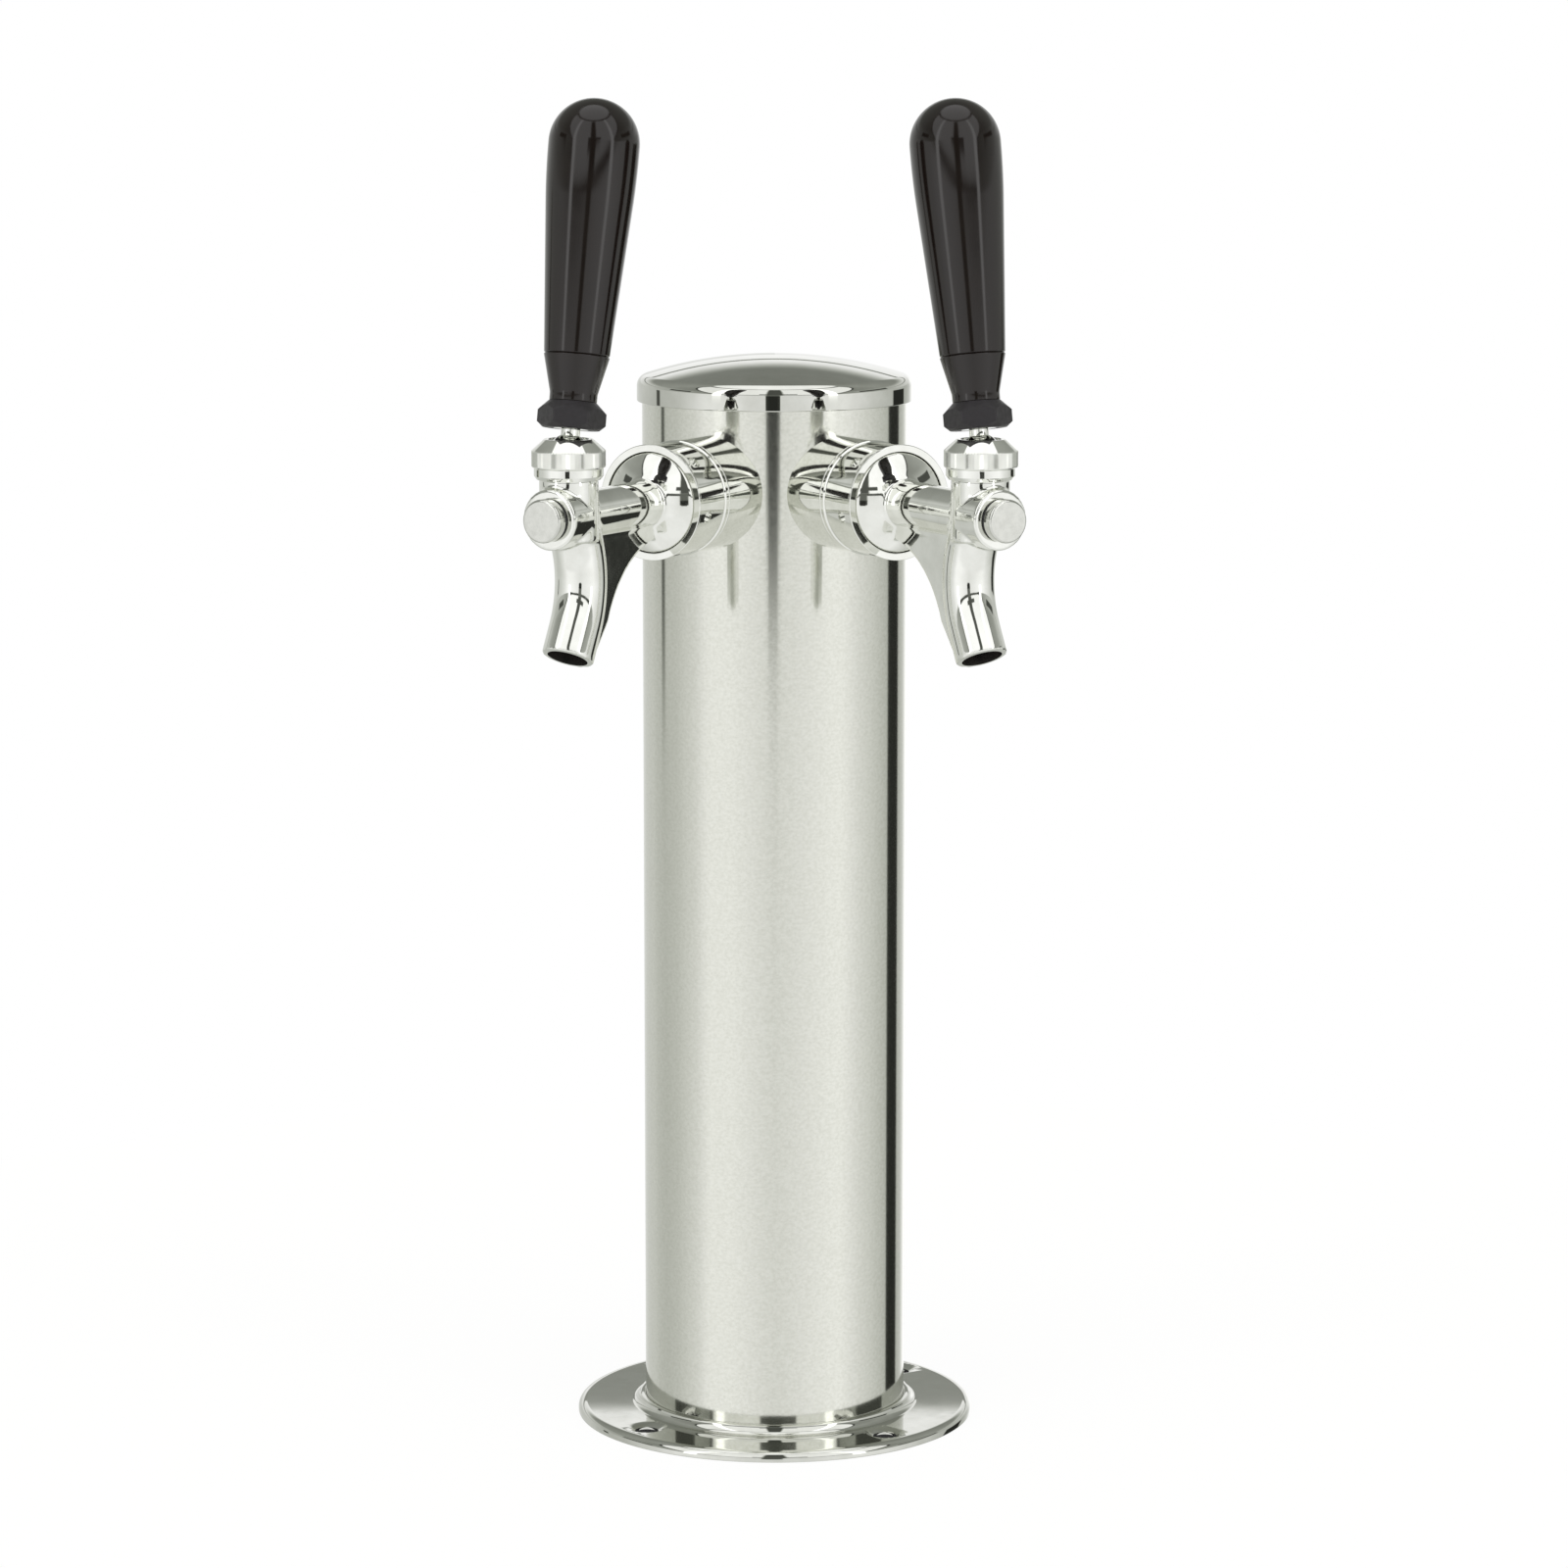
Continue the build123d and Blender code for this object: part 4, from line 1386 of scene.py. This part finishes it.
@dataclass
class TentShader:
    """Brightness of the light tent as shader nodes, laid up ring by ring and panel by panel.

    Attributes:
        tree: The world's node tree.
        azimuth: Socket that gives a direction's azimuth in degrees.
        elevation: Socket that gives its elevation in degrees.
        light: The brightness so far, as a number or a socket.
    """

    tree: bpy.types.NodeTree
    azimuth: Socket
    elevation: Socket
    light: Value = 0.0

    def lay_band(self, band: Band) -> None:
        """Lay one ring of the tent over those below it.

        Args:
            band: The ring.
        """
        spread = add_node(self.tree, "ShaderNodeMapRange", {
            "Value": self.azimuth, "From Min": -180.0, "From Max": 180.0}).outputs[0]
        ramp = add_node(self.tree, "ShaderNodeValToRGB", {0: spread})
        stops = ramp.color_ramp.elements
        while len(stops) < len(band.stops):
            stops.new(0.5)
        for stop, (place, level) in zip(stops, band.stops):
            stop.position = (place + 180) / 360
            stop.color = (level, level, level, 1)
        level = add_node(self.tree, "ShaderNodeRGBToBW", {0: ramp.outputs[0]}).outputs[0]
        share = add_node(self.tree, "ShaderNodeMapRange", {
            "Value": self.elevation, "From Min": band.start - band.fade / 2,
            "From Max": band.start + band.fade / 2}, interpolation_type="SMOOTHSTEP").outputs[0]
        self.light = add_node(self.tree, "ShaderNodeMix", {
            "Factor": share, "A": self.light, "B": level}).outputs["Result"]

    def lay_panel(self, panel: Panel) -> None:
        """Lay one panel over the tent.

        Args:
            panel: The panel.
        """
        climb = add_node(self.tree, "ShaderNodeMath", {
            0: self.elevation, 1: panel.elevation}, operation="SUBTRACT").outputs[0]
        spread = add_node(self.tree, "ShaderNodeMath", {
            0: climb, 1: panel.flare}, operation="MULTIPLY").outputs[0]
        masks = []
        for socket, middle, size, wider in (
            (self.azimuth, panel.azimuth, panel.width, spread),
            (self.elevation, panel.elevation, panel.height, 0.0),
        ):
            offset = add_node(self.tree, "ShaderNodeMath", {
                0: socket, 1: middle}, operation="SUBTRACT").outputs[0]
            away = add_node(self.tree, "ShaderNodeMath", {0: offset}, operation="ABSOLUTE").outputs[0]
            past = add_node(self.tree, "ShaderNodeMath", {
                0: away, 1: wider}, operation="SUBTRACT").outputs[0]
            masks.append(add_node(self.tree, "ShaderNodeMapRange", {
                "Value": past, "From Min": size / 2 + panel.edge / 2,
                "From Max": size / 2 - panel.edge / 2}, interpolation_type="SMOOTHSTEP").outputs[0])
        inside = add_node(self.tree, "ShaderNodeMath", {
            0: masks[0], 1: masks[1]}, operation="MULTIPLY").outputs[0]
        self.light = add_node(self.tree, "ShaderNodeMix", {
            "Factor": inside, "A": self.light, "B": panel.light}).outputs["Result"]


@dataclass
class Studio:
    """White light tent with softboxes and dark flags, a pale floor and the camera."""

    bands: tuple[Band, ...] = (
        # The lowest part.
        Band(-90, 1, ((-180, 0.55), (-110, 0.6), (-70, 0.95), (70, 0.95), (110, 0.6), (180, 0.55))),
        # What the column mirrors: bright walls beside the front, and darker ones behind them.
        Band(-22, 8, (
            (-180, 0.85), (-155, 0.73), (-133, 0.73), (-125, 0.67), (-111, 0.64), (-95, 0.70),
            (-85, 0.79), (-72, 0.90), (-64, 1.04), (-59, 1.10), (-39, 1.10), (-26, 1.04), (-15, 0.98),
            (0, 0.92), (16, 0.97), (37, 1.06), (49, 1.11), (60, 1.13), (67, 1.06), (78, 0.94), (86, 0.87),
            (96, 0.79), (103, 0.72), (113, 0.64), (123, 0.60), (139, 0.57), (150, 0.7), (164, 1.25),
            (180, 0.95))),
        # Walls just above the horizon, with a thin dark stripe behind the object.
        Band(6.5, 1, WALLS_BRIGHT_BEHIND),
        Band(14.2, 0.1, ((-180, 0.34), (-150, 0.34), *FRONT_WALLS, (150, 0.34), (180, 0.34))),
        Band(15.9, 0.1, WALLS_BRIGHT_BEHIND),
        # The upper walls and the bright ceiling.
        Band(22, 10, (
            (-180, 0.26), (-110, 0.40), (-60, 0.26), (60, 0.26), (110, 0.40), (180, 0.26))),
        Band(63, 2, ((-180, 1.3), (180, 1.3))),
    )
    panels: tuple[Panel, ...] = (
        # The large softbox above the front, laid over its dark frame, and a strip light at each side.
        Panel(0, 35, 157, 57, 0.06, 1.5, 1.0),
        Panel(0, 35, 151, 51, 1.2, 1.5, 1.0),
        Panel(-49.5, 28, 8, 64, 2.2, 2),
        Panel(49.5, 28, 8, 64, 2.2, 2),
        # The dark gap down the softbox's middle, and the dark patches under it.
        Panel(0, 34, 14, 50, 0.10, 3),
        Panel(-1.5, 4, 12, 10, 0.15, 3),
        Panel(-1.5, -3, 12, 6.2, 0.05, 1),
        Panel(-1.5, -3.6, 8, 7.0, 0.03, 1),
        # Low dark flags in front and at the sides.
        Panel(3, 16, 32, 5, 0.10, 1),
        Panel(-88, 16, 24, 7, 0.08, 1),
        Panel(94, 16, 34, 7, 0.08, 1),
        # Dark flags behind the sides.
        Panel(-114, -3, 5, 10, 0.10, 2),
        Panel(127, -17, 20, 32, 0.03, 2),
    )
    shade_tint: tuple[float, float, float, float] = (0.95, 1.0, 0.88, 1.0)
    camera_place: tuple[float, float, float] = (0.0, -1.5, 0.4271)
    camera_pitch: float = 9.1
    lens: float = 120.05
    sensor_width: float = 36.0
    shift_x: float = 0.0059
    clip_near: float = 0.01
    clip_far: float = 100.0
    floor_radius: float = 0.42
    floor_colour: str = "#e6e6e2"
    floor_glow: float = 1.06
    floor_glow_share: float = 0.86

    def world(self) -> None:
        """Light the object from the tent, and show plain white to the camera and through glass.

        Glossy surfaces reflect the tent and not the plain white.
        """
        world = bpy.data.worlds.new("Light_tent")
        bpy.context.scene.world = world
        world.use_nodes = True
        tree = world.node_tree
        tree.nodes.clear()
        white = (1, 1, 1, 1)
        direction = add_node(tree, "ShaderNodeTexCoord").outputs["Generated"]
        x, y, z = add_node(tree, "ShaderNodeSeparateXYZ", {0: direction}).outputs
        front = add_node(tree, "ShaderNodeMath", {0: y, 1: -1.0}, operation="MULTIPLY").outputs[0]
        around = add_node(tree, "ShaderNodeMath", {0: x, 1: front}, operation="ARCTAN2").outputs[0]
        rise = add_node(tree, "ShaderNodeMath", {0: z}, operation="ARCSINE").outputs[0]
        azimuth, elevation = (
            add_node(tree, "ShaderNodeMath", {0: angle, 1: degrees(1)}, operation="MULTIPLY").outputs[0]
            for angle in (around, rise))
        tent = TentShader(tree, azimuth, elevation)
        for band in self.bands:
            tent.lay_band(band)
        for panel in self.panels:
            tent.lay_panel(panel)
        tint = add_node(tree, "ShaderNodeMix", {
            "Factor": tent.light, "A": self.shade_tint, "B": white}, data_type="RGBA", clamp_factor=True)
        lit = add_node(tree, "ShaderNodeBackground", {
            "Color": tint.outputs["Result"], "Strength": tent.light}).outputs[0]
        plain = add_node(tree, "ShaderNodeBackground", {"Color": white, "Strength": 1.0}).outputs[0]
        path = add_node(tree, "ShaderNodeLightPath").outputs
        straight = add_node(tree, "ShaderNodeMath", {
            0: path["Is Camera Ray"], 1: path["Is Transmission Ray"]}, operation="MAXIMUM").outputs[0]
        both = add_node(tree, "ShaderNodeMixShader", {0: straight, 1: lit, 2: plain}).outputs[0]
        add_node(tree, "ShaderNodeOutputWorld", {"Surface": both})

    def floor(self) -> None:
        """Pale floor that looks white to the camera and keeps a faint shadow."""
        sheet = bmesh.new()
        bmesh.ops.create_circle(sheet, cap_ends=True, segments=96, radius=self.floor_radius)
        made = loose_object(sheet, "Studio_floor")
        material = bpy.data.materials.new("Paper_pale_matt")
        material.use_nodes = True
        tree = material.node_tree
        tree.nodes.clear()
        paper = add_node(tree, "ShaderNodeBsdfDiffuse", {"Color": linear(self.floor_colour)}).outputs[0]
        glow = add_node(tree, "ShaderNodeEmission", {
            "Color": (1, 1, 1, 1), "Strength": self.floor_glow}).outputs[0]
        lit = add_node(tree, "ShaderNodeMixShader", {0: self.floor_glow_share, 1: paper, 2: glow}).outputs[0]
        seen = add_node(tree, "ShaderNodeLightPath").outputs["Is Camera Ray"]
        both = add_node(tree, "ShaderNodeMixShader", {0: seen, 1: paper, 2: lit}).outputs[0]
        add_node(tree, "ShaderNodeOutputMaterial", {"Surface": both})
        made.data.materials.append(material)
        # Reflections show the lowest part of the tent where the floor would be.
        made.visible_glossy = False

    def camera(self) -> None:
        """Set up the camera."""
        data = bpy.data.cameras.new("Camera")
        data.lens, data.sensor_width, data.shift_x = self.lens, self.sensor_width, self.shift_x
        data.clip_start, data.clip_end = self.clip_near, self.clip_far
        made = bpy.data.objects.new("Camera", data)
        made.location = self.camera_place
        made.rotation_euler = (radians(90 - self.camera_pitch), 0, 0)
        bpy.context.scene.collection.objects.link(made)
        bpy.context.scene.camera = made

    def build(self) -> None:
        """Set up the camera, the light and the floor."""
        bpy.context.scene.view_settings.view_transform = "Standard"
        self.camera()
        self.world()
        self.floor()


def main() -> None:
    """Build the studio and the tower's sub-assemblies."""
    logging.basicConfig(level=logging.INFO, format="%(name)s: %(message)s")
    Studio().build()
    Tower().build()
    for side in Side:
        axes = TapAxes(side)
        for assembly in (Coupling(axes), FaucetCasting(axes), FrontPlug(axes), Bonnet(axes),
                         LeverAndHandle(axes)):
            assembly.build()


if __name__ == "__main__":
    main()
